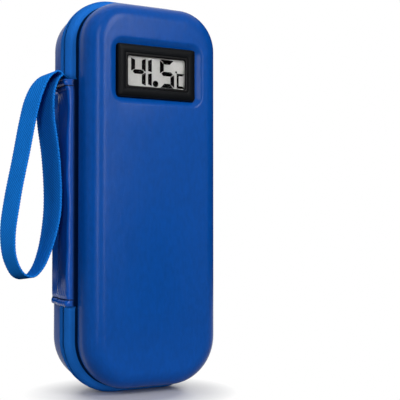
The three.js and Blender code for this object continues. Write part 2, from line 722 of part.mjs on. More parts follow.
function zipSlider(up) {
  const plate = roundedRectangle(SLIDER_W, SLIDER_L, SLIDER_CORNER);
  const outerLow = GAP;
  const innerHigh = COIL_OUT - COIL - GAP - BAND_BULGE;
  const outerPlate = slabAcross(plate, outerLow, outerLow + SLIDER_PLATE);
  const innerPlate = slabAcross(plate, innerHigh - SLIDER_PLATE, innerHigh);
  const blade = box(
    [innerHigh - SLIDER_PLATE / 2, -SLIDER_BLADE / 2, -SLIDER_BLADE_L / 2],
    [outerLow + SLIDER_PLATE / 2, SLIDER_BLADE / 2, SLIDER_BLADE_L / 2],
  );
  const top = outerLow + SLIDER_PLATE;
  const crown = new THREE.Shape();
  crown.moveTo(top - SLIDER_PLATE / 2, -CROWN_L / 2);
  crown.lineTo(top + eyeLow + CROWN_EYE, -CROWN_L / 2);
  crown.lineTo(top + eyeLow + CROWN_EYE + CROWN_BAR, -CROWN_EYE_L / 2);
  crown.lineTo(top + eyeLow + CROWN_EYE + CROWN_BAR, CROWN_EYE_L / 2);
  crown.lineTo(top + eyeLow + CROWN_EYE, CROWN_L / 2);
  crown.lineTo(top - SLIDER_PLATE / 2, CROWN_L / 2);
  const eye = new THREE.Path();
  eye.moveTo(top + eyeLow, -CROWN_EYE_L / 2);
  eye.lineTo(top + eyeLow + CROWN_EYE, -CROWN_EYE_L / 2);
  eye.lineTo(top + eyeLow + CROWN_EYE, CROWN_EYE_L / 2);
  eye.lineTo(top + eyeLow, CROWN_EYE_L / 2);
  crown.holes.push(eye);
  const arch = slab(crown, -CROWN_W / 2, CROWN_W / 2);
  arch.translate(0, 0, up * crownZ);
  return fuse(outerPlate, innerPlate, blade, arch);
}

// A flat pull whose top bar lies in the slider's eye
function zipPull() {
  const shape = new THREE.Shape();
  const half = PULL_W / 2;
  const top = PULL_BAR / 2;
  shape.moveTo(-half, top);
  shape.lineTo(-half, top - PULL_L + half);
  shape.absarc(0, top - PULL_L + half, half, Math.PI, 2 * Math.PI);
  shape.lineTo(half, top);
  const eye = new THREE.Path();
  eye.moveTo(-PULL_EYE_W / 2, -top);
  eye.lineTo(PULL_EYE_W / 2, -top);
  eye.lineTo(PULL_EYE_W / 2, -top - PULL_EYE_L);
  eye.lineTo(-PULL_EYE_W / 2, -top - PULL_EYE_L);
  shape.holes.push(eye);
  return slabAcross(shape, -PULL / 2, PULL / 2);
}

const bandX = CASE_W / 2 + BAND_BULGE;
const pullX = bandX + GAP + SLIDER_PLATE + pivotX;
for (const [name, up] of [['upper', 1], ['lower', -1]]) {
  const z = SLIDER_Z + up * (SLIDER_L + SLIDER_GAP) / 2;
  add(`zip_slider_${name}`, zipSlider(up), STEEL).position.set(bandX, 0, z);
  add(`zip_pull_${name}`, zipPull(), STEEL).position.set(pullX, 0, z + up * crownZ);
}

export default group;
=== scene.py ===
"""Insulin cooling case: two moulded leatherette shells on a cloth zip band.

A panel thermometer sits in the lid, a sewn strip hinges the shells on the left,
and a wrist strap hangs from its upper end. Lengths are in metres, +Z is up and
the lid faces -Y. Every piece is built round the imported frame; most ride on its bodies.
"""

from __future__ import annotations

import logging
import math
from collections.abc import Callable, Iterable, Iterator, Sequence
from contextlib import contextmanager
from dataclasses import dataclass, field, replace
from enum import Enum
from functools import cache

import bpy
from bpy.types import Material, Node, NodeSocket, NodeTree, Object
from mathutils import Matrix, Vector

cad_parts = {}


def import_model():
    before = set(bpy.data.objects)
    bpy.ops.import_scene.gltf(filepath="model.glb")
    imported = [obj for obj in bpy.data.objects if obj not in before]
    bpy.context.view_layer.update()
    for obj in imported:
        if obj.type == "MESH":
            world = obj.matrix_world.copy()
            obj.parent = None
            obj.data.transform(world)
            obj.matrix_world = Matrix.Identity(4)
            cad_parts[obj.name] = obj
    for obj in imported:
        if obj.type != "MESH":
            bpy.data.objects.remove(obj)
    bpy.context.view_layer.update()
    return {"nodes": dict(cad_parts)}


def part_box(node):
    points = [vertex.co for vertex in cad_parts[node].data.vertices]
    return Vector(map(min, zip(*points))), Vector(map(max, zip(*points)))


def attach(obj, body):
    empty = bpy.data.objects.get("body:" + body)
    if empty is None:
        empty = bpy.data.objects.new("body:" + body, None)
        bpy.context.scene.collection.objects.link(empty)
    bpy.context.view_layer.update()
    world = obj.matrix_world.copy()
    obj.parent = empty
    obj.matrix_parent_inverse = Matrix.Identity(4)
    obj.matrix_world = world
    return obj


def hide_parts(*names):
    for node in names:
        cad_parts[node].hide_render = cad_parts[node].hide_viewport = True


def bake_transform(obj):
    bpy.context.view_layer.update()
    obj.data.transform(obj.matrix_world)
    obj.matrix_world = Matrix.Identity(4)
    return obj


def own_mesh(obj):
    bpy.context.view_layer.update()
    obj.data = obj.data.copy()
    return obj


LOG = logging.getLogger("insulin_case")

Ring = list[Vector]
Colour = tuple[float, float, float, float]

WELD = 1e-6
GAP = 0.0003
TUB_INSET = 0.0012
LEFT = Vector((-1.0, 0.0, 0.0)).freeze()
FRONT = Vector((0.0, -1.0, 0.0)).freeze()
BACK = Vector((0.0, 1.0, 0.0)).freeze()


class Body(str, Enum):
    """Moving bodies of the frame."""

    BASE = "base"
    LID = "lid"
    STRAP = "strap"
    PACK_LID = "pack_lid"
    PACK_BASE = "pack_base"


class Slot(str, Enum):
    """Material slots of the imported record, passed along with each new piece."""

    SKIN = "skin"
    STRIP = "strip"
    TAPE = "tape"
    COIL = "coil"
    WEBBING = "webbing"
    LINING = "lining"
    NET = "net"
    ELASTIC = "elastic"
    GEL = "gel"
    BLACK_PLASTIC = "black_plastic"
    LCD = "lcd"


class Side(Enum):
    """The two halves of the case: the sign of their depth."""

    LID = -1
    BASE = 1

    @property
    def body(self) -> Body:
        """The body that this half rides on."""
        return Body.LID if self is Side.LID else Body.BASE


class Cloth(Enum):
    """How a cloth's pattern lies on its piece."""

    ALONG_UV = "UV"
    IN_SPACE = "Object"


@cache
def box_of(node: str) -> tuple[Vector, Vector]:
    """Low and high corners of a frame node, measured once."""
    low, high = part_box(node)
    return low.freeze(), high.freeze()


def smooth(share: float) -> float:
    """A step from 0 to 1 that starts and ends level."""
    held = min(1.0, max(0.0, share))
    return held * held * (3.0 - 2.0 * held)


def spread(low: float, high: float, steps: int) -> list[float]:
    """Evenly spaced values from low to high, both included."""
    return [low + (high - low) * step / steps for step in range(steps + 1)]


def deselect() -> None:
    """Clear the selection, so that an operator meets only what comes next."""
    bpy.ops.object.select_all(action="DESELECT")


def activate(piece: Object) -> None:
    """Make one piece the only selected and active one."""
    deselect()
    piece.select_set(True)
    bpy.context.view_layer.objects.active = piece


def latest(name: str) -> Object:
    """The object that the last operator made, under a name of its own."""
    piece = bpy.context.object
    piece.name = piece.data.name = name
    return piece


@contextmanager
def edit_mode() -> Iterator[None]:
    """Edit the active mesh with all of it selected, and leave edit mode afterwards."""
    bpy.ops.object.mode_set(mode="EDIT")
    bpy.ops.mesh.select_all(action="SELECT")
    try:
        yield
    finally:
        bpy.ops.object.mode_set(mode="OBJECT")


def turn_outwards() -> None:
    """In edit mode, point all faces outwards."""
    bpy.ops.mesh.select_all(action="SELECT")
    bpy.ops.mesh.normals_make_consistent(inside=False)


def apply_modifier(piece: Object, kind: str, **settings: float | str | bool) -> None:
    """Add a modifier and apply it at once.

    Args:
        piece: The mesh to finish.
        kind: Blender's name of the modifier.
        settings: Values of the modifier.
    """
    activate(piece)
    modifier = piece.modifiers.new(kind.lower(), kind)
    for name, value in settings.items():
        setattr(modifier, name, value)
    bpy.ops.object.modifier_apply(modifier=modifier.name)


def thicken(piece: Object, wall: float) -> None:
    """Give a sheet its wall, behind its outer face."""
    apply_modifier(piece, "SOLIDIFY", thickness=wall, offset=-1.0)


def shade(piece: Object, degrees: float = 40.0) -> Object:
    """Shade a piece smooth, apart from edges sharper than an angle."""
    activate(piece)
    bpy.ops.object.shade_smooth_by_angle(angle=math.radians(degrees))
    return piece


def laid_grid(
    name: str,
    rings: Sequence[Ring],
    wrap: bool = True,
    wrap_rows: bool = False,
    faces: Vector | None = None,
    flat: tuple[float, float] = (1.0, 1.0),
    fill: bool = False,
) -> Object:
    """Lay a grid primitive over rings of points, and close its seams.

    Args:
        name: Name of the piece.
        rings: Rows of points, all of one length.
        wrap: Whether each ring closes on itself.
        wrap_rows: Whether the last ring meets the first.
        faces: A direction that the first face looks along, for an open sheet.
        flat: The sheet's width and length, for its UV map.
        fill: Whether open ends are filled.

    Returns:
        The piece, with its place in its mesh.
    """
    rows = [[*ring, ring[0]] if wrap else list(ring) for ring in rings]
    if wrap_rows:
        rows.append(rows[0])
    deselect()
    bpy.ops.mesh.primitive_grid_add(x_subdivisions=len(rows[0]) - 1, y_subdivisions=len(rows) - 1, size=1.0)
    piece = latest(name)
    piece.data.vertices.foreach_set("co", [value for row in rows for point in row for value in point])
    for corner in piece.data.uv_layers[0].data:
        corner.uv = (corner.uv.x * flat[0], corner.uv.y * flat[1])
    with edit_mode():
        bpy.ops.mesh.remove_doubles(threshold=WELD)
        if fill:
            bpy.ops.mesh.fill_holes(sides=0)
        turn_outwards()
    if faces is not None and piece.data.polygons[0].normal.dot(faces) < 0:
        with edit_mode():
            bpy.ops.mesh.flip_normals()
    return piece


def joined(name: str, parts: Sequence[Object]) -> Object:
    """Join several meshes into one piece."""
    deselect()
    for part in parts:
        part.select_set(True)
    bpy.context.view_layer.objects.active = parts[0]
    bpy.ops.object.join()
    return latest(name)


def rounded_bar(name: str, low: Vector, high: Vector, edge: float) -> Object:
    """A cube primitive between two corners, with rounded edges."""
    deselect()
    bpy.ops.mesh.primitive_cube_add(size=1.0, location=(low + high) / 2)
    piece = latest(name)
    piece.scale = high - low
    bpy.ops.object.transform_apply(location=True, rotation=True, scale=True)
    with edit_mode():
        bpy.ops.mesh.bevel(offset=edge, segments=3, affect="EDGES")
    return piece


@dataclass(frozen=True)
class Stitch:
    """One stitch: its middle, the way it runs and the way out of the cloth."""

    middle: Vector
    along: Vector
    out: Vector

    def matrix(self, length: float, radius: float) -> Matrix:
        """The transform that lays a unit ball along the stitch."""
        along = self.along.normalized()
        out = self.out.normalized()
        across = along.cross(out)
        columns = (along * (length / 2), across * radius, out * radius)
        turn = Matrix([[column[row] for column in columns] for row in range(3)])
        return Matrix.Translation(self.middle) @ turn.to_4x4()


def stitch_row(name: str, stitches: Iterable[Stitch], length: float, radius: float) -> Object:
    """Lay one thread stitch at each place and join them.

    Args:
        name: Name of the piece.
        stitches: Places of the stitches.
        length: Length of one stitch.
        radius: Half the thread's thickness.

    Returns:
        The row as one mesh.
    """
    deselect()
    bpy.ops.mesh.primitive_uv_sphere_add(segments=8, ring_count=6, radius=1.0)
    ball = bpy.context.object
    copies = []
    for stitch in stitches:
        copy = ball.copy()
        copy.data = ball.data.copy()
        copy.data.transform(stitch.matrix(length, radius))
        bpy.context.collection.objects.link(copy)
        copies.append(copy)
    bpy.data.objects.remove(ball)
    row = joined(name, copies)
    bpy.ops.object.shade_smooth()
    return row


@dataclass(frozen=True)
class Station:
    """One place on a rounded outline: the centre and radius of its arc, and the way out."""

    x: float
    z: float
    radius: float
    nx: float
    nz: float

    def point(self, out: float, y: float) -> Vector:
        """The point that far out from the outline, at depth y."""
        reach = self.radius + out
        return Vector((self.x + reach * self.nx, y, self.z + reach * self.nz))

    def lifted(self, out: float, y: float, outer: float) -> Vector:
        """A point of a band whose outer face, that far out, is pressed flat by the floor."""
        lift = max(0.0, -self.point(outer, y).z)
        return self.point(out, y) + Vector((0.0, 0.0, lift))


@dataclass(frozen=True)
class Knot:
    """An end of one arc or straight run of an outline."""

    x: float
    z: float
    radius: float
    degrees: float


def stations_between(knots: Sequence[Knot], steps: Sequence[int]) -> list[Station]:
    """Stations along arcs and straight runs.

    Args:
        knots: Ends of the runs, in order.
        steps: Number of steps on each run.

    Returns:
        The stations, with the last knot's own.
    """
    found = []
    for start, end, count in zip(knots, knots[1:], steps, strict=False):
        for step in range(count):
            found.append(station_at(start, end, step / count))
    found.append(station_at(knots[-2], knots[-1], 1.0))
    return found


def station_at(start: Knot, end: Knot, share: float) -> Station:
    """The station at a share of the way between two knots."""

    def mixed(first: float, second: float) -> float:
        """A value between the two knots' own."""
        return first + (second - first) * share

    angle = math.radians(mixed(start.degrees, end.degrees))
    return Station(
        mixed(start.x, end.x),
        mixed(start.z, end.z),
        mixed(start.radius, end.radius),
        math.cos(angle),
        math.sin(angle),
    )


@dataclass(frozen=True)
class Outline:
    """A rounded rectangle in X and Z, with its own radius at the lower and upper corners."""

    left: float
    right: float
    low: float
    high: float
    round_low: float
    round_high: float

    CORNER_STEPS = 16
    LONG_STEPS = 26
    SHORT_STEPS = 10

    @classmethod
    def of_node(cls, node: str, round_low: float, round_high: float, grow: float = 0.0) -> Outline:
        """The outline of a frame node's box, grown by a margin."""
        low, high = box_of(node)
        return cls(low.x - grow, high.x + grow, low.z - grow, high.z + grow, round_low, round_high)

    def corners(self) -> tuple[tuple[float, float, float], ...]:
        """Centres and radii of the lower right, upper right, upper left and lower left corners."""
        near, far = self.round_low, self.round_high
        return (
            (self.right - near, self.low + near, near),
            (self.right - far, self.high - far, far),
            (self.left + far, self.high - far, far),
            (self.left + near, self.low + near, near),
        )

    def stations(self) -> list[Station]:
        """Stations round the closed outline, without the first one again at the end."""
        lower_right, upper_right, upper_left, lower_left = self.corners()
        turns = ((lower_right, -90), (lower_right, 0), (upper_right, 0), (upper_right, 90))
        returns = ((upper_left, 90), (upper_left, 180), (lower_left, 180), (lower_left, 270))
        knots = [Knot(*corner, angle) for corner, angle in (*turns, *returns, (lower_right, 270))]
        steps = [self.CORNER_STEPS, self.LONG_STEPS, self.CORNER_STEPS, self.SHORT_STEPS] * 2
        return stations_between(knots, steps)[:-1]

    def ring(self, out: float, y: float) -> Ring:
        """The outline that far out, at depth y."""
        return [station.point(out, y) for station in self.stations()]

    def half_width(self, z: float) -> float:
        """Half the width at a height, with the lower corners' arcs taken off."""
        half = (self.right - self.left) / 2
        below = max(0.0, self.low + self.round_low - z)
        return half - self.round_low + math.sqrt(max(0.0, self.round_low**2 - below**2))


class Bench:
    """Short ways to add and join the nodes of one tree."""

    def __init__(self, tree: NodeTree) -> None:
        """Work on a tree."""
        self.tree = tree

    def add(self, kind: str, inputs: dict[str | int, object] | None = None, **settings: object) -> Node:
        """Add a node.

        Args:
            kind: Blender's name of the node.
            inputs: Values of its inputs, or sockets that feed them.
            settings: Values of its properties.

        Returns:
            The node.
        """
        node = self.tree.nodes.new(kind)
        for name, value in settings.items():
            setattr(node, name, value)
        for name, value in (inputs or {}).items():
            self.feed(node.inputs[name], value)
        return node

    def feed(self, entry: NodeSocket, value: object) -> None:
        """Link a socket to an input, or set the input's value."""
        if isinstance(value, NodeSocket):
            self.tree.links.new(value, entry)
        else:
            entry.default_value = value

    def math(self, operation: str, first: object, second: object = 0.0) -> NodeSocket:
        """The result of a Math node on two values or sockets."""
        return self.add("ShaderNodeMath", {0: first, 1: second}, operation=operation).outputs[0]

    def mix(self, share: object, first: object, second: object) -> NodeSocket:
        """A colour between two colours."""
        inputs = {0: share, 6: first, 7: second}
        return self.add("ShaderNodeMix", inputs, data_type="RGBA").outputs[2]

    def noise(self, vector: NodeSocket, scale: object, detail: float, roughness: float = 0.5) -> NodeSocket:
        """A noise over the surface, from 0 to 1."""
        inputs = {"Vector": vector, "Scale": scale, "Detail": detail, "Roughness": roughness}
        return self.add("ShaderNodeTexNoise", inputs).outputs[0]

    def axes(self, vector: NodeSocket) -> Sequence[NodeSocket]:
        """The three parts of a vector."""
        return self.add("ShaderNodeSeparateXYZ", {0: vector}).outputs

    def place(self, kind: str = "Object") -> NodeSocket:
        """The place on a piece, in its own space or on its UV map."""
        return self.add("ShaderNodeTexCoord").outputs[kind]

    def ramp(self, value: NodeSocket, low: float, high: float, start: float, end: float) -> NodeSocket:
        """A value mapped from one range to another, held at its ends."""
        inputs = {0: value, 1: low, 2: high, 3: start, 4: end}
        return self.add("ShaderNodeMapRange", inputs).outputs[0]


class Effect:
    """A shader node group that several finishes share, built once."""

    name = ""
    inputs: dict[str, tuple[str, float | None]] = {}
    outputs: tuple[str, ...] = ()

    @classmethod
    def tree(cls) -> NodeTree:
        """The group, built when it is first asked for."""
        found = bpy.data.node_groups.get(cls.name)
        if found is not None:
            return found
        group = bpy.data.node_groups.new(cls.name, "ShaderNodeTree")
        for label, (kind, value) in cls.inputs.items():
            socket = group.interface.new_socket(label, in_out="INPUT", socket_type=kind)
            if value is not None:
                socket.default_value = value
        for label in cls.outputs:
            group.interface.new_socket(label, in_out="OUTPUT", socket_type="NodeSocketFloat")
        bench = Bench(group)
        entry = bench.add("NodeGroupInput")
        leave = bench.add("NodeGroupOutput")
        results = cls.wire(bench, entry)
        for label, socket in results.items():
            group.links.new(socket, leave.inputs[label])
        return group

    @classmethod
    def wire(cls, bench: Bench, entry: Node) -> dict[str, NodeSocket]:
        """Build the group's nodes and give the sockets of its outputs."""
        raise NotImplementedError

    @classmethod
    def place(cls, bench: Bench, **values: object) -> Node:
        """Put the group into a material with its own values."""
        return bench.add("ShaderNodeGroup", values, node_tree=cls.tree())


class Grain(Effect):
    """Pebbled grain of leatherette, with drawn creases and broad changes of tone."""

    name = "pebble_grain"
    inputs = {
        "Vector": ("NodeSocketVector", None),
        "Size": ("NodeSocketFloat", 0.0006),
        "Crease": ("NodeSocketFloat", 0.0),
    }
    outputs = ("Height", "Tone")
    FINE = 2.2
    SLOW = 0.03
    STREAK = 0.5
    CREASES = 150.0
    CREASE_ROUGHNESS = 0.6
    DRAWN = (1.0, 1.0, 0.4)
    FINE_SHARE = 0.35
    SLOW_SHARE = 0.4

    @classmethod
    def wire(cls, bench: Bench, entry: Node) -> dict[str, NodeSocket]:
        """Cells with a fine roughness and creases on them, and a slow noise with streaks."""
        vector = entry.outputs["Vector"]
        scale = bench.math("DIVIDE", 1.0, entry.outputs["Size"])
        cells = bench.add(
            "ShaderNodeTexVoronoi", {"Vector": vector, "Scale": scale, "Smoothness": 0.6}, feature="SMOOTH_F1"
        ).outputs["Distance"]
        fine = bench.noise(vector, bench.math("MULTIPLY", scale, cls.FINE), 2.0)
        slow = bench.noise(vector, bench.math("MULTIPLY", scale, cls.SLOW), 3.0)
        drawn = bench.add("ShaderNodeVectorMath", {0: vector, 1: cls.DRAWN}, operation="MULTIPLY").outputs[0]
        streak = bench.noise(drawn, bench.math("MULTIPLY", scale, cls.STREAK), 2.0)
        crease = bench.noise(drawn, cls.CREASES, 3.0, cls.CREASE_ROUGHNESS)
        folds = bench.math("MULTIPLY", crease, entry.outputs["Crease"])
        pebbles = bench.math("ADD", cells, bench.math("MULTIPLY", fine, cls.FINE_SHARE))
        slow_part = bench.math("MULTIPLY", slow, cls.SLOW_SHARE)
        streak_part = bench.math("MULTIPLY", streak, 1.0 - cls.SLOW_SHARE)
        tone = bench.math("ADD", slow_part, streak_part)
        return {"Height": bench.math("ADD", pebbles, folds), "Tone": tone}


class Weave(Effect):
    """Twill or ribbed weave: slanted ribs crossed by a finer thread."""

    name = "ribbed_weave"
    inputs = {
        "Vector": ("NodeSocketVector", None),
        "Pitch": ("NodeSocketFloat", 0.001),
        "Slant": ("NodeSocketFloat", 1.0),
    }
    outputs = ("Height", "Tone")
    THREAD = 0.35
    DYE = 60.0

    @classmethod
    def wire(cls, bench: Bench, entry: Node) -> dict[str, NodeSocket]:
        """Two waves of one pitch, and a slow noise for the dye."""
        vector = entry.outputs["Vector"]
        axes = bench.axes(vector)
        turn = bench.math("DIVIDE", 2 * math.pi, entry.outputs["Pitch"])
        slanted = bench.math("MULTIPLY", axes[0], entry.outputs["Slant"])
        along = bench.math("ADD", slanted, bench.math("ADD", axes[2], axes[1]))
        rib = bench.math("SINE", bench.math("MULTIPLY", along, turn))
        cross = bench.math("SINE", bench.math("MULTIPLY", axes[0], turn))
        both = bench.math("ADD", rib, bench.math("MULTIPLY", cross, cls.THREAD))
        height = bench.ramp(both, -1.0 - cls.THREAD, 1.0 + cls.THREAD, 0.0, 1.0)
        return {"Height": height, "Tone": bench.noise(vector, cls.DYE, 4.0)}


class Speckle(Effect):
    """Fine moulded or printed unevenness, for hard surfaces."""

    name = "fine_speckle"
    inputs = {"Vector": ("NodeSocketVector", None), "Size": ("NodeSocketFloat", 0.0004)}
    outputs = ("Height", "Tone")
    SLOW = 0.04

    @classmethod
    def wire(cls, bench: Bench, entry: Node) -> dict[str, NodeSocket]:
        """A fine noise and a slow one."""
        vector = entry.outputs["Vector"]
        scale = bench.math("DIVIDE", 1.0, entry.outputs["Size"])
        slow = bench.noise(vector, bench.math("MULTIPLY", scale, cls.SLOW), 3.0)
        return {"Height": bench.noise(vector, scale, 2.0), "Tone": slow}


def tinted(colour: Colour, share: float) -> Colour:
    """A colour made darker or lighter by a share."""
    return (*(channel * share for channel in colour[:3]), 1.0)


def new_material(name: str) -> tuple[Material, Node]:
    """A material with nodes, and its shader."""
    made = bpy.data.materials.new(name)
    made.use_nodes = True
    return made, made.node_tree.nodes["Principled BSDF"]


@dataclass(frozen=True)
class Finish:
    """A surface finish: one material, made when it is first used."""

    name: str
    colour: Colour
    roughness: float
    specular: float = 0.3
    size: float = 0.0005
    depth: float = 0.00003
    contrast: float = 0.12
    UNEVEN = 0.12
    TONES = (0.3, 0.7)

    def material(self) -> Material:
        """The finish's material."""
        found = bpy.data.materials.get(self.name)
        if found is not None:
            return found
        made, shader = new_material(self.name)
        made.diffuse_color = self.colour
        self.wire(Bench(made.node_tree), shader)
        return made

    def effect(self, bench: Bench) -> Node:
        """The group that gives the surface its height and tone."""
        return Speckle.place(bench, Vector=bench.place(), Size=self.size)

    def wire(self, bench: Bench, shader: Node) -> None:
        """Colour, roughness and bump from the finish's effect."""
        shader.inputs["Specular IOR Level"].default_value = self.specular
        effect = self.effect(bench)
        links = bench.tree.links
        tone = bench.ramp(effect.outputs["Tone"], *self.TONES, 0.0, 1.0)
        dark = tinted(self.colour, 1.0 - self.contrast)
        light = tinted(self.colour, 1.0 + self.contrast)
        links.new(bench.mix(tone, dark, light), shader.inputs["Base Color"])
        height = effect.outputs["Height"]
        matt = min(1.0, self.roughness * (1.0 + self.UNEVEN))
        glossy = self.roughness * (1.0 - self.UNEVEN)
        links.new(bench.ramp(height, 0.0, 1.0, matt, glossy), shader.inputs["Roughness"])
        bump = bench.add("ShaderNodeBump", {"Height": height, "Distance": self.depth, "Strength": 1.0})
        links.new(bump.outputs[0], shader.inputs["Normal"])

    def paint_shade(self, bench: Bench, shader: Node, unshaded: NodeSocket) -> None:
        """Paint shade: scale the colour by a mask, where 1 leaves it as it is."""
        base = shader.inputs["Base Color"].links[0].from_socket
        scaled = bench.add("ShaderNodeVectorMath", {0: base, "Scale": unshaded}, operation="SCALE")
        bench.tree.links.new(scaled.outputs[0], shader.inputs["Base Color"])


@dataclass(frozen=True)
class Leatherette(Finish):
    """Coated cloth with a fine pebbled grain and faint drawn creases."""

    crease: float = 6.0

    def effect(self, bench: Bench) -> Node:
        """Grain in the piece's own space."""
        return Grain.place(bench, Vector=bench.place(), Size=self.size, Crease=self.crease)


@dataclass(frozen=True)
class SewnStrip(Leatherette):
    """A leatherette strip with painted shade along its front edge, where it rolls into the groove by the lid,
    and in the sunken seams of its two hems.

    Its UV map runs across the strip and then along it, from 0 to 1 each way.
    """

    edge_shade_from: float = 0.055
    edge_shade_to: float = 0.085
    hem: float = 0.0286
    seam_shade_half: float = 0.004
    shade: float = 0.1
    CORE = 0.3

    def wire(self, bench: Bench, shader: Node) -> None:
        """As any leatherette, with painted shade on the front edge and in the seams."""
        super().wire(bench, shader)
        axes = bench.axes(bench.place("UV"))
        # painted shade: the front edge darkens where it rolls into the groove
        edge = bench.ramp(axes[0], self.edge_shade_from, self.edge_shade_to, self.shade, 1.0)
        # painted shade in the grooves sewn at both hems
        from_middle = bench.math("ABSOLUTE", bench.math("SUBTRACT", axes[1], 0.5))
        from_seam = bench.math("ABSOLUTE", bench.math("SUBTRACT", from_middle, 0.5 - self.hem))
        seam = bench.ramp(from_seam, self.seam_shade_half * self.CORE, self.seam_shade_half, self.shade, 1.0)
        self.paint_shade(bench, shader, bench.math("MINIMUM", edge, seam))


@dataclass(frozen=True)
class Woven(Finish):
    """Woven or knitted cloth, with painted shade darkening the hollows between its ribs."""

    slant: float = 1.0
    lies: Cloth = Cloth.ALONG_UV
    # painted shade: share of the colour left in the ribs' hollows, where shade falls
    hollow: float = 0.72
    RIB = 0.7

    def effect(self, bench: Bench) -> Node:
        """Weave along the cloth, or through space on flat pieces."""
        vector = bench.place(self.lies.value)
        if self.lies is Cloth.ALONG_UV:
            axes = bench.axes(vector)
            vector = bench.add("ShaderNodeCombineXYZ", {"X": axes[0], "Z": axes[1]}).outputs[0]
        return Weave.place(bench, Vector=vector, Pitch=self.size, Slant=self.slant)

    def wire(self, bench: Bench, shader: Node) -> None:
        """As any finish, with painted shade in the ribs' hollows."""
        super().wire(bench, shader)
        effect = next(node for node in bench.tree.nodes if node.bl_idname == "ShaderNodeGroup")
        # painted shade: the colour darkens towards the weave's low places
        self.paint_shade(bench, shader, bench.ramp(effect.outputs["Height"], 0.0, self.RIB, self.hollow, 1.0))


@dataclass(frozen=True)
class ZipTape(Woven):
    """Woven tape whose outer edge, at the start of its UV map, is darkened as painted shade of the groove
    beside the shell's rim.
    """

    # painted shade: width of the dark band at the tape's outer edge, in the groove by the rim
    groove_shade_width: float = 0.0016
    shade: float = 0.1
    CORE = 0.55

    def wire(self, bench: Bench, shader: Node) -> None:
        """As any cloth, with painted shade along the edge that lies in the groove."""
        super().wire(bench, shader)
        across = bench.axes(bench.place("UV"))[0]
        # painted shade of the groove: darkest at the very edge, full colour a band's width in
        unshaded = bench.ramp(across, self.groove_shade_width * self.CORE, self.groove_shade_width, self.shade, 1.0)
        self.paint_shade(bench, shader, unshaded)


@dataclass(frozen=True)
class Metal(Finish):
    """Bare or painted metal."""

    metallic: float = 1.0

    def wire(self, bench: Bench, shader: Node) -> None:
        """As any finish, with its share of bare metal."""
        super().wire(bench, shader)
        shader.inputs["Metallic"].default_value = self.metallic


@dataclass(frozen=True)
class Film(Finish):
    """Soft glossy film over gel."""

    coat: float = 0.25
    coat_roughness: float = 0.3

    def wire(self, bench: Bench, shader: Node) -> None:
        """As any finish, under a thin clear coat."""
        super().wire(bench, shader)
        shader.inputs["Coat Weight"].default_value = self.coat
        shader.inputs["Coat Roughness"].default_value = self.coat_roughness


@dataclass(frozen=True)
class Lens(Finish):
    """Clear polished plastic."""

    ior: float = 1.06

    def wire(self, bench: Bench, shader: Node) -> None:
        """A plain clear shader with a fine unevenness in its gloss."""
        effect = self.effect(bench)
        rough = bench.ramp(effect.outputs["Tone"], 0.0, 1.0, 0.0, self.roughness)
        bench.tree.links.new(rough, shader.inputs["Roughness"])
        shader.inputs["Base Color"].default_value = self.colour
        shader.inputs["Specular IOR Level"].default_value = self.specular
        shader.inputs["Transmission Weight"].default_value = 1.0
        shader.inputs["IOR"].default_value = self.ior


SKIN_BLUE: Colour = (0.001, 0.0475, 0.24, 1.0)
WEB_BLUE: Colour = (0.0086, 0.178, 0.655, 1.0)
TAPE_BLUE: Colour = (0.0115, 0.126, 0.49, 1.0)
# painted shade: the webbing's blue darkened to about a quarter, for the tab's shaded side
TAB_SHADED_BLUE: Colour = (0.002, 0.05, 0.2, 1.0)
STRIP_BLUE: Colour = (0.0014, 0.062, 0.33, 1.0)
SLIDER_BLUE: Colour = (0.003, 0.07, 0.3, 1.0)
CLOTH_BLACK: Colour = (0.011, 0.012, 0.014, 1.0)
NET_BLACK: Colour = (0.014, 0.015, 0.018, 1.0)
ELASTIC_BLACK: Colour = (0.009, 0.0095, 0.011, 1.0)
BEZEL_BLACK: Colour = (0.0022, 0.0027, 0.0036, 1.0)

SKIN = Leatherette("skin_leatherette", SKIN_BLUE, 0.28, 0.086, size=0.00085, depth=0.000024, contrast=0.11)
STRIP = SewnStrip("strip_leatherette", STRIP_BLUE, 0.24, 0.15, size=0.0007, depth=0.000016)
WEBBING = Woven(
    "webbing_twill", WEB_BLUE, 0.85, 0.0, size=0.0015, depth=0.0002, contrast=0.06, slant=0.8, hollow=0.62
)
# the tape's finish paints groove shade along its outer edges
TAPE = ZipTape("tape_weave", TAPE_BLUE, 0.85, 0.0, size=0.0009, depth=0.00008, contrast=0.08, slant=2.0)
COIL = Finish("coil_nylon", (0.0012, 0.016, 0.07, 1.0), 0.45, 0.1, size=0.0006)
THREAD = Finish("sewing_thread", (0.0008, 0.006, 0.03, 1.0), 0.7, 0.05, size=0.0003)
# the tab's finish is a painted-shade copy of the webbing
TAB = Woven(
    "tab_twill", TAB_SHADED_BLUE, 0.85, 0.0, size=0.0015, depth=0.00012, contrast=0.06, lies=Cloth.IN_SPACE
)
LINING = Woven(
    "lining_knit", CLOTH_BLACK, 0.9, 0.1,
    size=0.0011, depth=0.00012, contrast=0.15, slant=0.5, lies=Cloth.IN_SPACE,
)
NET = Woven("net_strand", NET_BLACK, 0.8, 0.2, size=0.0006, depth=0.00004, lies=Cloth.IN_SPACE)
ELASTIC = Woven("ribbed_elastic", ELASTIC_BLACK, 0.85, 0.15, size=0.0012, depth=0.00016, slant=0.0)
ELASTIC_FLAT = replace(ELASTIC, name="bound_elastic", depth=0.00012, slant=1.0, lies=Cloth.IN_SPACE)
GEL_FILM = Film("gel_film", (0.0015, 0.12, 0.6, 1.0), 0.34, 0.4, size=0.0012, depth=0.00004, contrast=0.06)
BEZEL = Finish("bezel_plastic", BEZEL_BLACK, 0.36, 0.035, size=0.00025, depth=0.00001, contrast=0.08)
DARK_FRAME = Finish("frame_plastic", (0.0016, 0.0017, 0.0022, 1.0), 0.3, 0.06, size=0.0003, depth=0.000006)
CLEAR = Lens("clear_window", (0.98, 0.98, 0.98, 1.0), 0.01, 0.05)
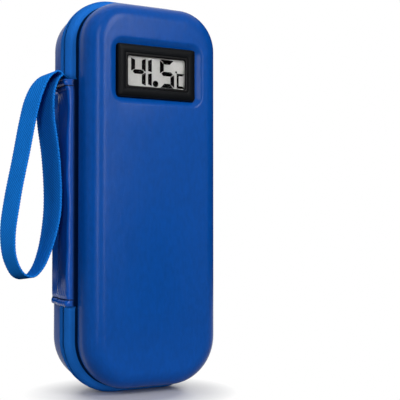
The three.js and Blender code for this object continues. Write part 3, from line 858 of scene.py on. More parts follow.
LCD = Finish("lcd_reflector", (0.243, 0.24, 0.233, 1.0), 0.4, 0.3, size=0.00045, depth=0.00001, contrast=0.09)
SEGMENT = Finish("lcd_segment", (0.002, 0.002, 0.0025, 1.0), 0.6, 0.0, size=0.0004, depth=0.000004)
ENAMEL = Metal("slider_enamel", SLIDER_BLUE, 0.32, 0.5, size=0.0009, depth=0.000008, metallic=0.15)
STEEL = Metal("nickelled_steel", (0.55, 0.55, 0.54, 1.0), 0.3, 0.5, size=0.0006, depth=0.000006)
RUBBER = Finish("zebra_rubber", (0.03, 0.03, 0.031, 1.0), 0.7, 0.3, size=0.0004)
BOARD = Finish("solder_mask", (0.012, 0.13, 0.045, 1.0), 0.4, 0.4, size=0.0008, contrast=0.2)
EPOXY = Finish("black_epoxy", (0.005, 0.005, 0.006, 1.0), 0.28, 0.5, size=0.0008)


def dress(piece: Object, finish: Finish) -> Object:
    """Give a piece one finish in place of what it had."""
    piece.data.materials.clear()
    piece.data.materials.append(finish.material())
    return piece


def seat(piece: Object, finish: Finish, slot: Slot, body: Body, *nodes: str) -> Object:
    """Dress a piece, tie it to its body and hide the frame nodes that it stands for.

    Args:
        piece: The finished mesh.
        finish: Its finish.
        slot: Not used.
        body: The body it rides on.
        nodes: Frame nodes that it stands for.

    Returns:
        The piece.
    """
    dress(piece, finish)
    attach(piece, body.value)
    if nodes:
        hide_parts(*nodes)
    LOG.info("%s rides on %s", piece.name, body.value)
    return piece


def bend_with_hinge(piece: Object, finish: Finish) -> None:
    """Dress a piece of cloth and bake its transform into its mesh."""
    dress(piece, finish)
    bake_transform(piece)
    LOG.info("%s bends between base and lid", piece.name)


@dataclass
class Recess:
    """The soft-edged hollow in the lid's face that the thermometer sits in."""

    margin: float = 0.0014
    slope: float = 0.0022
    depth: float = 0.0022
    corner: float = 0.0068
    lead: float = 0.0011
    tail: float = 0.0021
    hole_gap: float = 0.0003
    back_room: float = 0.0026
    back_corner: float = 0.0075
    right_room: float = 0.0015
    STEPS = 16

    def lip(self) -> Outline:
        """The outline where the face turns down into the hollow, with more room on the right."""
        around = Outline.of_node("thermo_case", self.corner, self.corner, self.margin + self.slope)
        return replace(around, right=around.right + self.right_room)

    def hole(self) -> Outline:
        """The hole for the thermometer's tub."""
        inset = TUB_INSET - self.hole_gap
        corner = self.corner - self.margin - self.slope - inset
        return Outline.of_node("thermo_case", corner, corner, -inset)

    def rings(self, face: Callable[[float, float], float], level: float) -> list[Ring]:
        """Rings from the face down to the hollow's floor and in to the hole.

        Args:
            face: The face's depth at a place in X and Z.
            level: The plain depth of the face, which the floor is measured from.

        Returns:
            Rings that go on from the face.
        """
        lip = self.lip()
        found = []
        floor = level + self.depth
        for share in spread(0.0, 1.0, self.STEPS):
            out = self.lead - (self.lead + self.slope + self.tail) * share
            ring = lip.ring(out, 0.0)
            sink = smooth(share)
            for point in ring:
                top = face(point.x, point.z)
                point.y = top + (floor - top) * sink
            found.append(ring)
        found.append(self.hole().ring(0.0, floor))
        return found


@dataclass
class Tray:
    """A moulded half of the case, or its lining: rim, wall, rounded edge and face."""

    name: str
    node: str
    side: Side
    finish: Finish
    slot: Slot
    corner_low: float
    corner_high: float
    edge: float
    wall: float
    rim_round: float = 0.0008
    rim_run: float = 0.0008
    rim_reach: float = 0.0
    grow: float = 0.0
    crown: float = 0.0
    recess: Recess | None = None
    hole: Outline | None = None
    RIM_STEPS = 8
    EDGE_STEPS = 16
    FACE_STEPS = 10
    SPINE_HALF = 0.002
    SPINE_END = 0.045
    SPINE_ROUND = 0.9

    def depths(self) -> tuple[float, float]:
        """Depths of the rim and of the face."""
        low, high = box_of(self.node)
        return (high.y, low.y) if self.side is Side.LID else (low.y, high.y)

    def face_depth(self, x: float, z: float) -> float:
        """Depth of the crowned face at a place."""
        low, high = box_of(self.node)
        half = (high.x - low.x) / 2 - self.edge
        tall = (high.z - low.z) / 2 - self.edge
        across = max(0.0, 1.0 - (x / half) ** 2)
        along = max(0.0, 1.0 - ((z - (low.z + high.z) / 2) / tall) ** 4)
        return self.depths()[1] + self.side.value * self.crown * across * along

    def profile(self) -> list[tuple[float, float]]:
        """The wall's section from the rim to the face: how far out, and how deep."""
        rim, face = self.depths()
        way = self.side.value
        rim -= way * self.rim_reach
        found = []
        for angle in spread(0.0, math.pi / 2, self.RIM_STEPS):
            found.append((
                -self.rim_round * (1 - math.sin(angle)),
                rim + way * self.rim_run * (1 - math.cos(angle)),
            ))
        for angle in spread(0.0, math.pi / 2, self.EDGE_STEPS):
            found.append((-self.edge * (1 - math.cos(angle)), face - way * self.edge * (1 - math.sin(angle))))
        return found

    def spine(self) -> Outline:
        """A narrow outline in the middle of a plain face, where its rings end."""
        low, high = box_of(self.node)
        half, end = self.SPINE_HALF, self.SPINE_END
        corner = half * self.SPINE_ROUND
        return Outline(-half, half, low.z + end, high.z - end, corner, corner)

    def face_rings(self, start: Ring) -> list[Ring]:
        """Rings over the face, from the rounded edge to its hollow, hole or middle."""
        level = self.depths()[1]
        ends: list[Ring] = []
        if self.recess is not None:
            ends = self.recess.rings(self.face_depth, level)
            last = ends[0]
        else:
            last = (self.hole or self.spine()).ring(0.0, level)
        found = []
        for share in spread(0.0, 1.0, self.FACE_STEPS)[1:]:
            ring = [first.lerp(second, share) for first, second in zip(start, last, strict=True)]
            for point in ring:
                point.y = self.face_depth(point.x, point.z)
            found.append(ring)
        return [*found[:-1], *ends] if ends else found

    def build(self) -> Object:
        """Loft the outer face, give it its wall and seat it."""
        outline = Outline.of_node(self.node, self.corner_low, self.corner_high)
        rings = [outline.ring(self.grow + out, y) for out, y in self.profile()]
        rings.extend(self.face_rings(rings[-1]))
        piece = laid_grid(self.name, rings, faces=FRONT * self.side.value)
        thicken(piece, self.wall)
        shade(piece, 50.0)
        return seat(piece, self.finish, self.slot, self.side.body, self.node)


@dataclass
class PlainTray(Tray):
    """A tray whose face is closed all over."""

    def face_rings(self, start: Ring) -> list[Ring]:
        """Rings over the face, with the last one drawn together on a line."""
        rings = super().face_rings(start)
        spine = self.spine()
        level = self.depths()[1]
        closed = []
        for point in rings[-1]:
            height = min(spine.high - self.SPINE_HALF, max(spine.low + self.SPINE_HALF, point.z))
            closed.append(Vector((0.0, level, height)))
        return [*rings, closed]


@dataclass
class ZipBand:
    """Two woven tapes that bulge between the rims, with a coil along each edge."""

    corner_low: float = 0.028
    corner_high: float = 0.024
    rim_step: float = 0.0009
    half_depth: float = 0.0112
    lid_reach: float = 0.0028
    base_grow: float = 0.0012
    groove: float = 0.0009
    bulge: float = 0.0034
    power: float = 2.4
    tuck: float = 0.0015
    tuck_width: float = 0.0018
    tape: float = 0.0009
    hem: float = 0.0026
    hem_depth: float = 0.0013
    slit: float = 0.0025
    coil_thick: float = 0.0013
    coil_pitch: float = 0.0016
    coil_reach: float = 0.0003
    coil_root: float = 0.0021
    coil_gap: float = 0.0002
    tooth_back: float = 1.6
    tooth_round: float = 0.0003
    tooth_swell: float = 0.00018
    stop_room: float = 0.0037
    step: float = 0.0012
    under: float = 0.006
    dive: float = 0.0023
    dive_from: float = 0.0016
    dive_run: float = 0.0034
    narrow: float = 0.22
    DEPTH_SHARES = (0.0, 0.03, 0.08, 0.15, 0.24, 0.34, 0.46, 0.6, 0.75, 0.88, 0.96, 1.0)
    LIP = ((0.35, 0.00012), (0.75, 0.00008))
    WAIST = 0.7

    def outline(self) -> Outline:
        """The rims' outline."""
        return Outline.of_node("lid_shell", self.corner_low, self.corner_high, self.rim_step)

    def height(self, y: float) -> float:
        """How far the band stands over the rims' outline at a depth."""
        off = self.lid_reach / 2
        swell = self.bulge * (1.0 - abs((y - off) / (self.half_depth - off)) ** self.power)
        inside = min(self.edge(Side.BASE) - y, y + self.edge(Side.LID))
        return swell - self.tuck * (1.0 - smooth(inside / self.tuck_width))

    def edge(self, side: Side) -> float:
        """Depth of a tape's outer edge, a groove short of its rim."""
        return self.half_depth - self.groove - (self.lid_reach if side is Side.LID else 0.0)

    def path(self, step: float, room: float = 0.0) -> list[Station]:
        """Stations from above the hinge strip, over the top and round to its lower end.

        Args:
            step: Greatest distance between two stations.
            room: Length left free at both ends.

        Returns:
            The stations in order.
        """
        outline = self.outline()
        lower_right, upper_right, upper_left, lower_left = outline.corners()
        strip_low, strip_high = box_of("spine_strip_front")
        start = (upper_left[0], strip_high.z + GAP + room, upper_left[2])
        end = (lower_left[0], strip_low.z - GAP - room, lower_left[2])
        turns = (
            (start, 180), (upper_left, 180), (upper_left, 90), (upper_right, 90), (upper_right, 0),
            (lower_right, 0), (lower_right, -90), (lower_left, -90), (lower_left, -180), (end, -180),
        )
        knots = [Knot(*corner, angle) for corner, angle in turns]
        steps = []
        for first, second in zip(knots, knots[1:], strict=False):
            straight = math.hypot(second.x - first.x, second.z - first.z)
            arc = first.radius * abs(math.radians(second.degrees - first.degrees))
            steps.append(max(1, math.ceil(max(straight, arc) / step)))
        return stations_between(knots, steps)

    def tape_section(self, side: Side) -> list[tuple[float, float, float]]:
        """Points round one tape's section: how far out, depth, and the outer face there."""
        way = side.value
        start = self.edge(side)
        end = self.slit / 2
        depths = [way * (start + (end - start) * share) for share in self.DEPTH_SHARES]
        hem_out = -self.rim_step - self.hem
        found = [(hem_out, depths[0])]
        found.extend((self.height(y), y) for y in depths)
        lip = self.height(depths[-1])
        found.extend((lip - self.tape * share, way * (end - back)) for share, back in self.LIP)
        inner = [y for y in reversed(depths) if abs(y) <= start - self.hem_depth]
        found.extend((self.height(y) - self.tape, y) for y in inner)
        found.append((hem_out, way * (start - self.hem_depth)))
        return [(out, y, max(0.0, self.height(y))) for out, y in found]

    def sunk(self, station: Station) -> float:
        """How far a tape has dived under the hinge strip at a station, from 0 to 1."""
        middle = station.point(0.0, 0.0)
        if middle.x > 0:
            return 0.0
        low, high = box_of("spine_strip_front")
        inside = min(high.z - middle.z, middle.z - low.z)
        return smooth((inside + self.dive_from) / self.dive_run)

    def build_tape(self, side: Side) -> Object:
        """One woven tape, with its ends tucked under the hinge strip."""
        section = self.tape_section(side)
        stations = self.path(self.step, -self.under)
        rings = []
        for station in stations:
            sunk = self.sunk(station)
            close = 1.0 - self.narrow * sunk
            down = self.dive * sunk
            rings.append([station.lifted(out - down, y * close, face) for out, y, face in section])
        width = 2 * self.half_depth
        length = self.step * len(stations)
        label = side.body.value
        piece = laid_grid(f"zip_tape_{label}_weave", rings, fill=True, flat=(width, length))
        shade(piece, 45.0)
        return seat(piece, TAPE, Slot.TAPE, side.body, f"zip_tape_{label}")

    def coil_section(self, side: Side, index: int) -> list[tuple[float, float, float]]:
        """Section of a coil at one station: its teeth reach past the middle in turn."""
        phase = index * math.pi / 2 + (math.pi if side is Side.LID else 0.0)
        tooth = 0.5 + 0.5 * math.cos(phase)
        near = self.coil_reach * (self.tooth_back - (1.0 + self.tooth_back) * tooth)
        high = self.bulge - self.tape - self.coil_gap
        low = high - self.coil_thick
        swell = self.tooth_swell * tooth
        root, waist = self.coil_root, self.coil_root * self.WAIST
        points = (
            (high, near + self.tooth_round), ((low + high) / 2, near), (low, near + self.tooth_round),
            (low - swell, waist), (low, root), (high, root), (high + swell, waist),
        )
        return [(out, side.value * y, self.bulge) for out, y in points]

    def build_coil(self, side: Side) -> Object:
        """One nylon coil with its teeth."""
        stations = self.path(self.coil_pitch / 4, self.stop_room)
        rings = [
            [station.lifted(*point) for point in self.coil_section(side, index)]
            for index, station in enumerate(stations)
        ]
        label = side.body.value
        piece = laid_grid(f"zip_coil_{label}_teeth", rings, fill=True)
        shade(piece, 60.0)
        return seat(piece, COIL, Slot.COIL, side.body, f"zip_coil_{label}")

    def build(self) -> None:
        """Both tapes and both coils."""
        for side in Side:
            self.build_tape(side)
            self.build_coil(side)


@dataclass
class HingeStrip:
    """One sewn strip that joins the shells on the left, with a turned hem at each end."""

    band: ZipBand
    thickness: float = 0.0011
    proud: float = 0.0004
    dip: float = 0.0009
    shoulder: float = 0.0021
    crest_fall: float = 0.0004
    rear: float = 0.025
    rear_run: float = 0.006
    base_turn: float = 0.0197
    base_edge: float = 0.0103
    base_gap: float = 0.00005
    flat_from: float = 0.006
    flat_run: float = 0.009
    hem: float = 0.0036
    hem_proud: float = 0.0007
    hem_run: float = 0.0011
    roll: float = 0.0006
    roll_run: float = 0.0007
    seam: float = 0.0012
    seam_width: float = 0.0008
    ripple: float = 0.0003
    ripple_run: float = 0.012
    pucker: float = 0.00012
    pucker_run: float = 0.006
    cover: float = 0.0014
    cover_half: float = 0.0112
    cover_run: float = 0.003
    cover_edge: float = 0.002
    stitch: float = 0.0022
    stitch_pitch: float = 0.003
    stitch_start: float = 0.001
    top_row: float = 0.0011
    thread: float = 0.0003
    COLUMNS = 60
    ROWS = 180
    CROWDING = 1.6
    EDGE_SHARE = 0.35
    THREAD_UP = 0.6
    TUCKS = (-0.003, -0.0018, -0.0006)

    def reach(self) -> tuple[float, float]:
        """Depths of the strip's edges: at the lid's rim, and round the side of the base."""
        return -self.band.edge(Side.LID), self.rear

    def section(self, y: float) -> float:
        """How far the plain strip stands over the rims' outline: a roll, then flat on the base."""
        front = self.reach()[0]
        on_base = self.thickness + self.band.base_grow - self.band.rim_step + self.base_gap
        turn = self.base_edge + self.thickness
        past = max(0.0, y - self.base_turn)
        flat = on_base - turn + math.sqrt(turn**2 - past**2)
        crest = self.band.bulge + self.proud - self.crest_fall * (y / self.band.half_depth) ** 2
        share = min(1.0, (y - front) / self.shoulder)
        roll = (crest + self.dip) * math.sqrt(max(0.0, 1.0 - (1.0 - share) ** 2)) - self.dip
        return roll + (flat - roll) * smooth((y - self.flat_from) / self.flat_run)

    def span(self) -> tuple[float, float]:
        """Heights of the strip's ends."""
        low, high = box_of("spine_strip_front")
        return low.z, high.z

    def softness(self, y: float, z: float, from_end: float) -> float:
        """Slow waves of the free cloth, and puckers beside its seams."""
        free = smooth((from_end - self.hem) / self.ripple_run)
        wave = math.sin(z * 175 + y * 210) * math.sin(z * 61 + 1.3) + 0.6 * math.sin(z * 96 - y * 330)
        fade = math.exp(-max(0.0, from_end - self.hem) / self.pucker_run)
        folds = math.sin(y * 1900 + 4 * math.sin(z * 400))
        return self.ripple * free * wave + self.pucker * fade * folds

    def out(self, y: float, z: float) -> float:
        """How far the strip stands over the rims' outline at a place."""
        low, high = self.span()
        from_end = min(z - low, high - z)
        front, rear = self.reach()
        edge = smooth((y - front) / self.shoulder) * smooth((rear - y) / self.rear_run)
        hem = self.hem_proud * (1.0 - smooth((from_end - self.hem) / self.hem_run))
        covers = 1.0 - smooth((high - z - self.hem) / self.cover_run)
        hem += self.cover * covers * smooth((self.cover_half - abs(y)) / self.cover_edge)
        seam = -self.seam * math.exp(-(((from_end - self.hem) / self.seam_width) ** 2))
        roll = -self.roll * (1.0 - smooth(from_end / self.roll_run))
        sewn = (hem + seam) * (self.EDGE_SHARE + (1.0 - self.EDGE_SHARE) * edge)
        return self.section(y) + sewn + roll + edge * self.softness(y, z, from_end)

    def point(self, y: float, z: float, above: float = 0.0) -> Vector:
        """A point on the strip's outer face, or above it."""
        return Vector((self.band.outline().left - self.out(y, z) - above, y, z))

    def build(self) -> None:
        """The strip and the stitching of its hems."""
        low, high = self.span()
        front, rear = self.reach()
        depths = [front + (rear - front) * share**self.CROWDING for share in spread(0.0, 1.0, self.COLUMNS)]
        rings = [
            [*(self.point(front, z, tuck) for tuck in self.TUCKS), *(self.point(y, z) for y in depths)]
            for z in spread(low, high, self.ROWS)
        ]
        sheet = laid_grid("hinge_strip", rings, wrap=False, faces=LEFT)
        thicken(sheet, self.thickness)
        shade(sheet, 60.0)
        stitches = []
        for z in (low + self.hem, high - self.hem, high - self.top_row):
            for step in range(int((rear - front - self.stitch_start) / self.stitch_pitch)):
                y = front + self.stitch_start + step * self.stitch_pitch
                along = self.point(y + GAP, z) - self.point(y - GAP, z)
                stitches.append(Stitch(self.point(y, z, self.thread * self.THREAD_UP), along, LEFT))
        seams = stitch_row("hinge_strip_stitches", stitches, self.stitch, self.thread)
        bend_with_hinge(sheet, STRIP)
        bend_with_hinge(seams, THREAD)
        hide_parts("spine_strip_front", "spine_strip_rear")


@dataclass
class WristStrap:
    """A webbing loop that hangs from a sewn tab at the strip's upper end."""

    band: ZipBand
    width: float = 0.02
    thickness: float = 0.0011
    drop: float = 0.0023
    tilt: float = 0.09
    tilt_run: float = 0.07
    twist: float = math.radians(7.5)
    twist_start: float = 0.022
    twist_foot: float = 0.068
    twist_run: float = 0.035
    scallop: float = 0.00022
    scallop_pitch: float = 0.0017
    keep: float = 0.15
    tab_drop: float = 0.0034
    tab_lift: float = 0.0016
    tab_under: float = 0.0012
    tab_flat: float = 0.001
    tab_front: float = 0.6
    tab_edge: float = 0.0005
    tab_seam: float = 0.0022
    stitch: float = 0.0019
    thread: float = 0.00018
    thread_up: float = 0.00006
    ROWS = 700
    ACROSS = 12
    EDGE_STEPS = 3
    FINE_STEPS = 40
    TAB_COLUMNS = 24
    TAB_ROWS = 20
    SEAM_SPAN = (-0.45, 0.8)
    SEAM_STEPS = 5
    ROUTE = (
        (-0.0011, -0.0024), (-0.0032, -0.0009), (-0.0068, -0.0024), (-0.0108, -0.007), (-0.0148, -0.0162),
        (-0.0176, -0.0276), (-0.0213, -0.047), (-0.0262, -0.0718), (-0.0285, -0.0912), (-0.027, -0.1042),
        (-0.0222, -0.1126), (-0.017, -0.114), (-0.012, -0.1096), (-0.0072, -0.0986), (-0.0036, -0.082),
        (-0.0029, -0.069), (-0.0043, -0.0466), (-0.0072, -0.026), (-0.0072, -0.0155), (-0.005, -0.0078),
        (-0.003, -0.0044),
    )

    def root(self) -> Vector:
        """The place on the tab's outer face that the route is measured from."""
        low, high = box_of("strap_anchor")
        return Vector((low.x, 0.0, high.z - self.drop))

    def route(self) -> list[Vector]:
        """Evenly spaced points along the closed loop."""
        knots = [self.root() + Vector((x, 0.0, z)) for x, z in self.ROUTE]
        fine = [
            through(knots, index, share)
            for index in range(len(knots))
            for share in spread(0.0, 1.0, self.FINE_STEPS)[:-1]
        ]
        return evenly(fine, self.ROWS)

    def section(self, grow: float) -> list[tuple[float, float]]:
        """Points round the webbing's section: through its thickness, and across it."""
        thick = self.thickness / 2
        flat = self.width / 2 + grow - thick
        half = [(thick, y) for y in spread(-flat, flat, self.ACROSS)]
        for angle in spread(0.0, math.pi, self.EDGE_STEPS + 1)[1:-1]:
            half.append((thick * math.cos(angle), flat + thick * math.sin(angle)))
        return [*half, *((-out, -y) for out, y in half)]

    def across(self, point: Vector) -> Vector:
        """The way across the webbing: it turns a little between its root and its lowest bend."""
        away = (point - self.root()).length
        free = smooth(away / self.twist_start) * smooth((point.z - self.twist_foot) / self.twist_run)
        turn = self.twist * free
        fall = self.tilt * smooth((self.root().z - point.z) / self.tilt_run)
        return Vector((-math.sin(turn), math.cos(turn), -fall)).normalized()

    def build_loop(self) -> Object:
        """The loop, with the small scallops of its woven edges."""
        route = self.route()
        length = sum((route[index] - route[index - 1]).length for index in range(self.ROWS))
        waves = round(length / self.scallop_pitch)
        rings = []
        for index, point in enumerate(route):
            along = (route[(index + 1) % self.ROWS] - route[index - 1]).normalized()
            out = Vector((along.z, 0.0, -along.x))
            grow = self.scallop * math.cos(2 * math.pi * waves * index / self.ROWS)
            across = self.across(point)
            rings.append([point + out * thick + across * y for thick, y in self.section(grow)])
        flat = (2 * (self.width + self.thickness), length)
        return shade(laid_grid("wrist_strap_webbing", rings, wrap_rows=True, flat=flat), 60.0)

    def build_tab(self) -> list[Object]:
        """The sewn tab and its row of stitches."""
        reach = self.width / 2
        foot, top = self.tab_span()
        depths = spread(-self.tab_front * reach, reach, self.TAB_COLUMNS)
        rings = [[self.tab_point(y, z) for y in depths] for z in spread(foot, top, self.TAB_ROWS)]
        tab = laid_grid("strap_tab", rings, wrap=False, faces=LEFT)
        thicken(tab, self.thickness)
        apply_modifier(tab, "BEVEL", width=self.tab_edge, segments=3, limit_method="ANGLE")
        shade(tab, 50.0)
        stitches = []
        seam = foot + self.tab_seam
        first, last = self.SEAM_SPAN
        for y in spread(first * reach, last * reach, self.SEAM_STEPS):
            middle = self.tab_point(y, seam) + LEFT * self.thread_up
            along = self.tab_point(y + GAP, seam) - self.tab_point(y - GAP, seam)
            stitches.append(Stitch(middle, along, LEFT))
        return [tab, stitch_row("strap_tab_stitches", stitches, self.stitch, self.thread)]

    def tab_span(self) -> tuple[float, float]:
        """Heights of the tab's ends: its foot lies under the strip's hem."""
        strip_top = box_of("spine_strip_front")[1].z
        return strip_top - self.tab_under, box_of("strap_anchor")[1].z - self.tab_drop

    def tab_point(self, y: float, z: float) -> Vector:
        """A point on the tab's outer face: it hugs the band below and leans out to the loop above."""
        foot, top = self.tab_span()
        close = self.band.outline().left - self.band.height(y) - self.tab_lift
        lean = smooth((z - foot - self.tab_flat) / (top - foot - self.tab_flat))
        return Vector((close + (box_of("strap_anchor")[0].x - close) * lean, y, z))

    def build(self) -> None:
        """The loop, which rides on the strap's own body, and the tab with its stitches."""
        loop = seat(self.build_loop(), WEBBING, Slot.WEBBING, Body.STRAP, "wrist_strap")
        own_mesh(loop)
        tab, seams = self.build_tab()
        bend_with_hinge(tab, TAB)
        bend_with_hinge(seams, THREAD)
        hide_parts("strap_anchor")


CURVE_SPANS = (((0, 1), (1, 2), (2, 3)), ((0, 2), (1, 3)), ((1, 2),))


def through(knots: Sequence[Vector], index: int, share: float) -> Vector:
    """A point on the smooth closed curve through knots, by centripetal spacing.

    Args:
        knots: Points that the curve passes through.
        index: The knot that the stretch starts at.
        share: Share of the way to the next knot.

    Returns:
        The point.
    """
    count = len(knots)
    points = [knots[(index + offset) % count] for offset in (-1, 0, 1, 2)]
    times = [0.0]
    for first, second in zip(points, points[1:], strict=False):
        times.append(times[-1] + math.sqrt((second - first).length))
    at = times[1] + (times[2] - times[1]) * share
    level = points
    for spans in CURVE_SPANS:
        level = [
            level[k].lerp(level[k + 1], (at - times[first]) / (times[second] - times[first]))
            for k, (first, second) in enumerate(spans)
        ]
    return level[0]


def evenly(points: Sequence[Vector], count: int) -> list[Vector]:
    """Points of a closed line, spaced evenly along it."""
    closed = [*points, points[0]]
    travelled = [0.0]
    for first, second in zip(closed, closed[1:], strict=False):
        travelled.append(travelled[-1] + (second - first).length)
    found = []
    place = 0
    for step in range(count):
        target = travelled[-1] * step / count
        while travelled[place + 1] < target:
            place += 1
        share = (target - travelled[place]) / (travelled[place + 1] - travelled[place])
        found.append(closed[place].lerp(closed[place + 1], share))
    return found


@dataclass(frozen=True)
class DigitCell:
    """One figure of the reading: its place from the glass's lower left corner, and its lit segments."""

    left: float
    low: float
    width: float
    height: float
    stroke: float
    lit: str
    gap: float = 0.0004
    mitre: float = 0.75
    notch: float = 0.5
    TIP = 0.2
    MIRRORED = {
        "a": ("a", 1, 1), "d": ("a", 1, -1), "g": ("g", 1, 1),
        "f": ("f", 1, 1), "b": ("f", -1, 1), "e": ("f", 1, -1), "c": ("f", -1, -1),
    }

    def shapes(self) -> dict[str, list[tuple[float, float]]]:
        """Corners of the upper, middle and upper left segments, from the cell's middle."""
        half = self.stroke / 2
        wide, tall = self.width / 2, self.height / 2
        inner = wide - self.stroke
        tip = self.TIP * self.stroke + self.gap
        shoulder = tall - self.mitre * self.stroke - self.gap
        foot = self.notch * self.stroke + self.gap
        return {
            "a": [
                (self.gap - wide, tall), (wide - self.gap, tall),
                (inner - self.gap, tall - self.stroke), (self.gap - inner, tall - self.stroke),
            ],
            "g": [
                (tip - wide, 0.0), (tip + half - wide, half), (wide - tip - half, half),
                (wide - tip, 0.0), (wide - tip - half, -half), (tip + half - wide, -half),
            ],
            "f": [
                (-wide, tall - self.gap), (-inner, shoulder), (-inner, foot),
                (tip - self.gap - wide, self.gap), (-wide, self.gap),
            ],
        }

    def segments(self) -> list[list[Vector]]:
        """Corners of the lit segments, mitred against their neighbours, in the glass's plane."""
        shapes = self.shapes()
        middle = Vector((self.left + self.width / 2, 0.0, self.low + self.height / 2))
        found = []
        for letter in self.lit:
            shape, across, up = self.MIRRORED[letter]
            found.append([middle + Vector((x * across, 0.0, z * up)) for x, z in shapes[shape]])
        return found


@dataclass
class Thermometer:
    """The panel thermometer: bezel and tub, the rim round its window, a painted-shade skirt round the bezel,
    and its reading.
    """

    bay_inset: float = 0.0024
    window_inset: float = 0.0059
    step_inset: float = 0.0043
    step_drop: float = 0.0004
    lens_seat: float = 0.0013
    corner: float = 0.0012
    glass_shift: float = 0.0013
    ink: float = 0.00005
    plate: float = 0.00003
    flare: float = 0.0009
    backing_gap: float = 0.00006
    backing_hug: float = 0.00015
    lining_wall: float = 0.00082
    flange: float = 0.0026
    lip_corner: float = 0.0011
    skirt_hug: float = 0.00003
    skirt_top: float = 0.0006
    skirt_foot: float = 0.0027
    backing: float = 0.0002
    backing_round: float = 0.0013
    DOT_SIDES = 24
    figures: tuple[DigitCell, ...] = (
        DigitCell(0.0014, 0.0004, 0.0091, 0.0159, 0.0025, "fgbc", mitre=0.4),
        DigitCell(0.0119, 0.0004, 0.0024, 0.0159, 0.0024, "bc", mitre=0.4, notch=0.2),
        DigitCell(0.0194, 0.0004, 0.0092, 0.0159, 0.0025, "afgcd"),
        DigitCell(0.0301, 0.0007, 0.0052, 0.0085, 0.0014, "afed", gap=0.0, mitre=1.0, notch=0.0),
    )
    dots: tuple[tuple[float, float, float], ...] = ((0.0167, 0.0023, 0.0018), (0.0298, 0.0099, 0.0006))

    def frame(self, inset: float, corner: float) -> Outline:
        """The bezel's outline drawn in by an inset."""
        return Outline.of_node("thermo_case", corner, corner, -inset)

    def loft(self, name: str, profile: Iterable[tuple[float, float, float]], degrees: float) -> Object:
        """A closed loft of frames round the window.

        Args:
            name: Name of the piece.
            profile: Each frame's inset from the bezel's outline, its corner and its depth.
            degrees: Edges sharper than this stay sharp.

        Returns:
            The piece.
        """
        rings = [self.frame(inset, corner).ring(0.0, y) for inset, corner, y in profile]
        return shade(laid_grid(name, rings, wrap_rows=True), degrees)

    def build_case(self) -> Object:
        """Bezel, tub and the seat of the window, as one closed loft."""
        low, high = box_of("thermo_case")
        front, rear = low.y, high.y
        flange, step, bed = front + self.flange, front + self.step_drop, front + self.lens_seat
        inner = self.window_inset
        profile = (
            (0.0, self.corner, flange),
            (0.0, self.corner, front + 0.0005),
            (0.0001, self.corner, front + 0.0002),
            (0.0004, self.corner, front),
            (self.step_inset - 0.0004, self.corner, front),
            (self.step_inset - 0.0001, self.corner, front + 0.0001),
            (self.step_inset, self.corner, step),
            (inner - 0.0006, 0.0009, step + 0.00005),
            (inner - 0.00015, 0.0009, step + 0.0003),
            (inner, 0.0009, bed),
            (inner - 0.0012, 0.001, bed),
            (self.bay_inset, 0.0012, bed + 0.0004),
            (self.bay_inset, 0.0012, rear),
            (TUB_INSET, 0.0015, rear),
            (TUB_INSET, 0.0015, flange),
        )
        piece = self.loft("thermo_case_bezel", profile, 35.0)
        return seat(piece, BEZEL, Slot.BLACK_PLASTIC, Body.LID, "thermo_case")

    def build_lip(self) -> Object:
        """A glossy black rim round the window, inside the bezel."""
        front = box_of("thermo_case")[0].y + self.step_drop
        inner, outer, corner = self.window_inset + 0.00005, self.step_inset + 0.0002, self.lip_corner
        profile = (
            (outer, corner, front + 0.0001),
            (outer, corner, front - 0.00012),
            (outer + 0.0002, corner, front - 0.0002),
            (inner - 0.0005, corner, front - 0.0002),
            (inner - 0.00015, corner, front - 0.00008),
            (inner, corner, front + 0.0002),
            (inner, corner, front + 0.0008),
            (inner - 0.0003, corner, front + 0.0008),
        )
        return seat(self.loft("thermo_window_rim", profile, 50.0), DARK_FRAME, Slot.BLACK_PLASTIC, Body.LID)

    def build_shade_skirt(self) -> Object:
        """A black skirt that flares from the bezel's edge down to the lid: a dark sheet in the corner round
        the bezel's foot, standing in for the shade there as painted shade.
        """
        front = box_of("thermo_case")[0].y
        top, foot, hug = front + self.skirt_top, front + self.skirt_foot, self.skirt_hug
        # painted shade: this black sheet fills the shaded corner between bezel and hollow
        profile = (
            (-hug, self.corner, top),
            (-hug * 5, self.corner, top),
            (-self.flare * 0.6, self.corner + 0.0004, front + 0.0018),
            (-self.flare, self.corner + 0.0006, foot),
            (-hug, self.corner, foot),
        )
        return seat(self.loft("thermo_bezel_shade_skirt", profile, 50.0), DARK_FRAME, Slot.BLACK_PLASTIC, Body.LID)

    def build_backing(self) -> Object:
        """The cloth inside the lid that closes the lining round the thermometer's tub."""
        floor = box_of("clip_left")[0].y - self.backing_gap
        lining = box_of("lid_lining")[0].y + self.lining_wall
        profile = (
            (0.0068, lining),
            (0.0058, lining + 0.0004),
            (0.0046, floor - 0.0004),
            (0.0034, floor - 0.00006),
            (0.0015, floor),
            (self.backing_hug - TUB_INSET, floor),
        )
        rings = []
        for grow, y in profile:
            corner = max(self.corner, grow + self.backing_round)
            rings.append(self.frame(-grow, corner).ring(0.0, y))
        piece = laid_grid("thermo_back_cloth", rings, faces=BACK)
        thicken(piece, self.backing)
        return seat(shade(piece, 50.0), LINING, Slot.LINING, Body.LID)

    def glass_corner(self) -> Vector:
        """The lower left corner of what shows of the display, on its front face."""
        window = self.frame(self.window_inset, self.corner)
        face = box_of("lcd_panel")[0].y
        return Vector((window.left + self.glass_shift, face - self.ink, window.low))

    def bar(self, corners: Sequence[Vector]) -> Object:
        """One lit segment, drawn out to the ink's thickness."""
        deselect()
        bpy.ops.mesh.primitive_circle_add(vertices=len(corners), fill_type="NGON")
        piece = bpy.context.object
        for vertex, point in zip(piece.data.vertices, corners, strict=True):
            vertex.co = point
        return self.inked(piece)

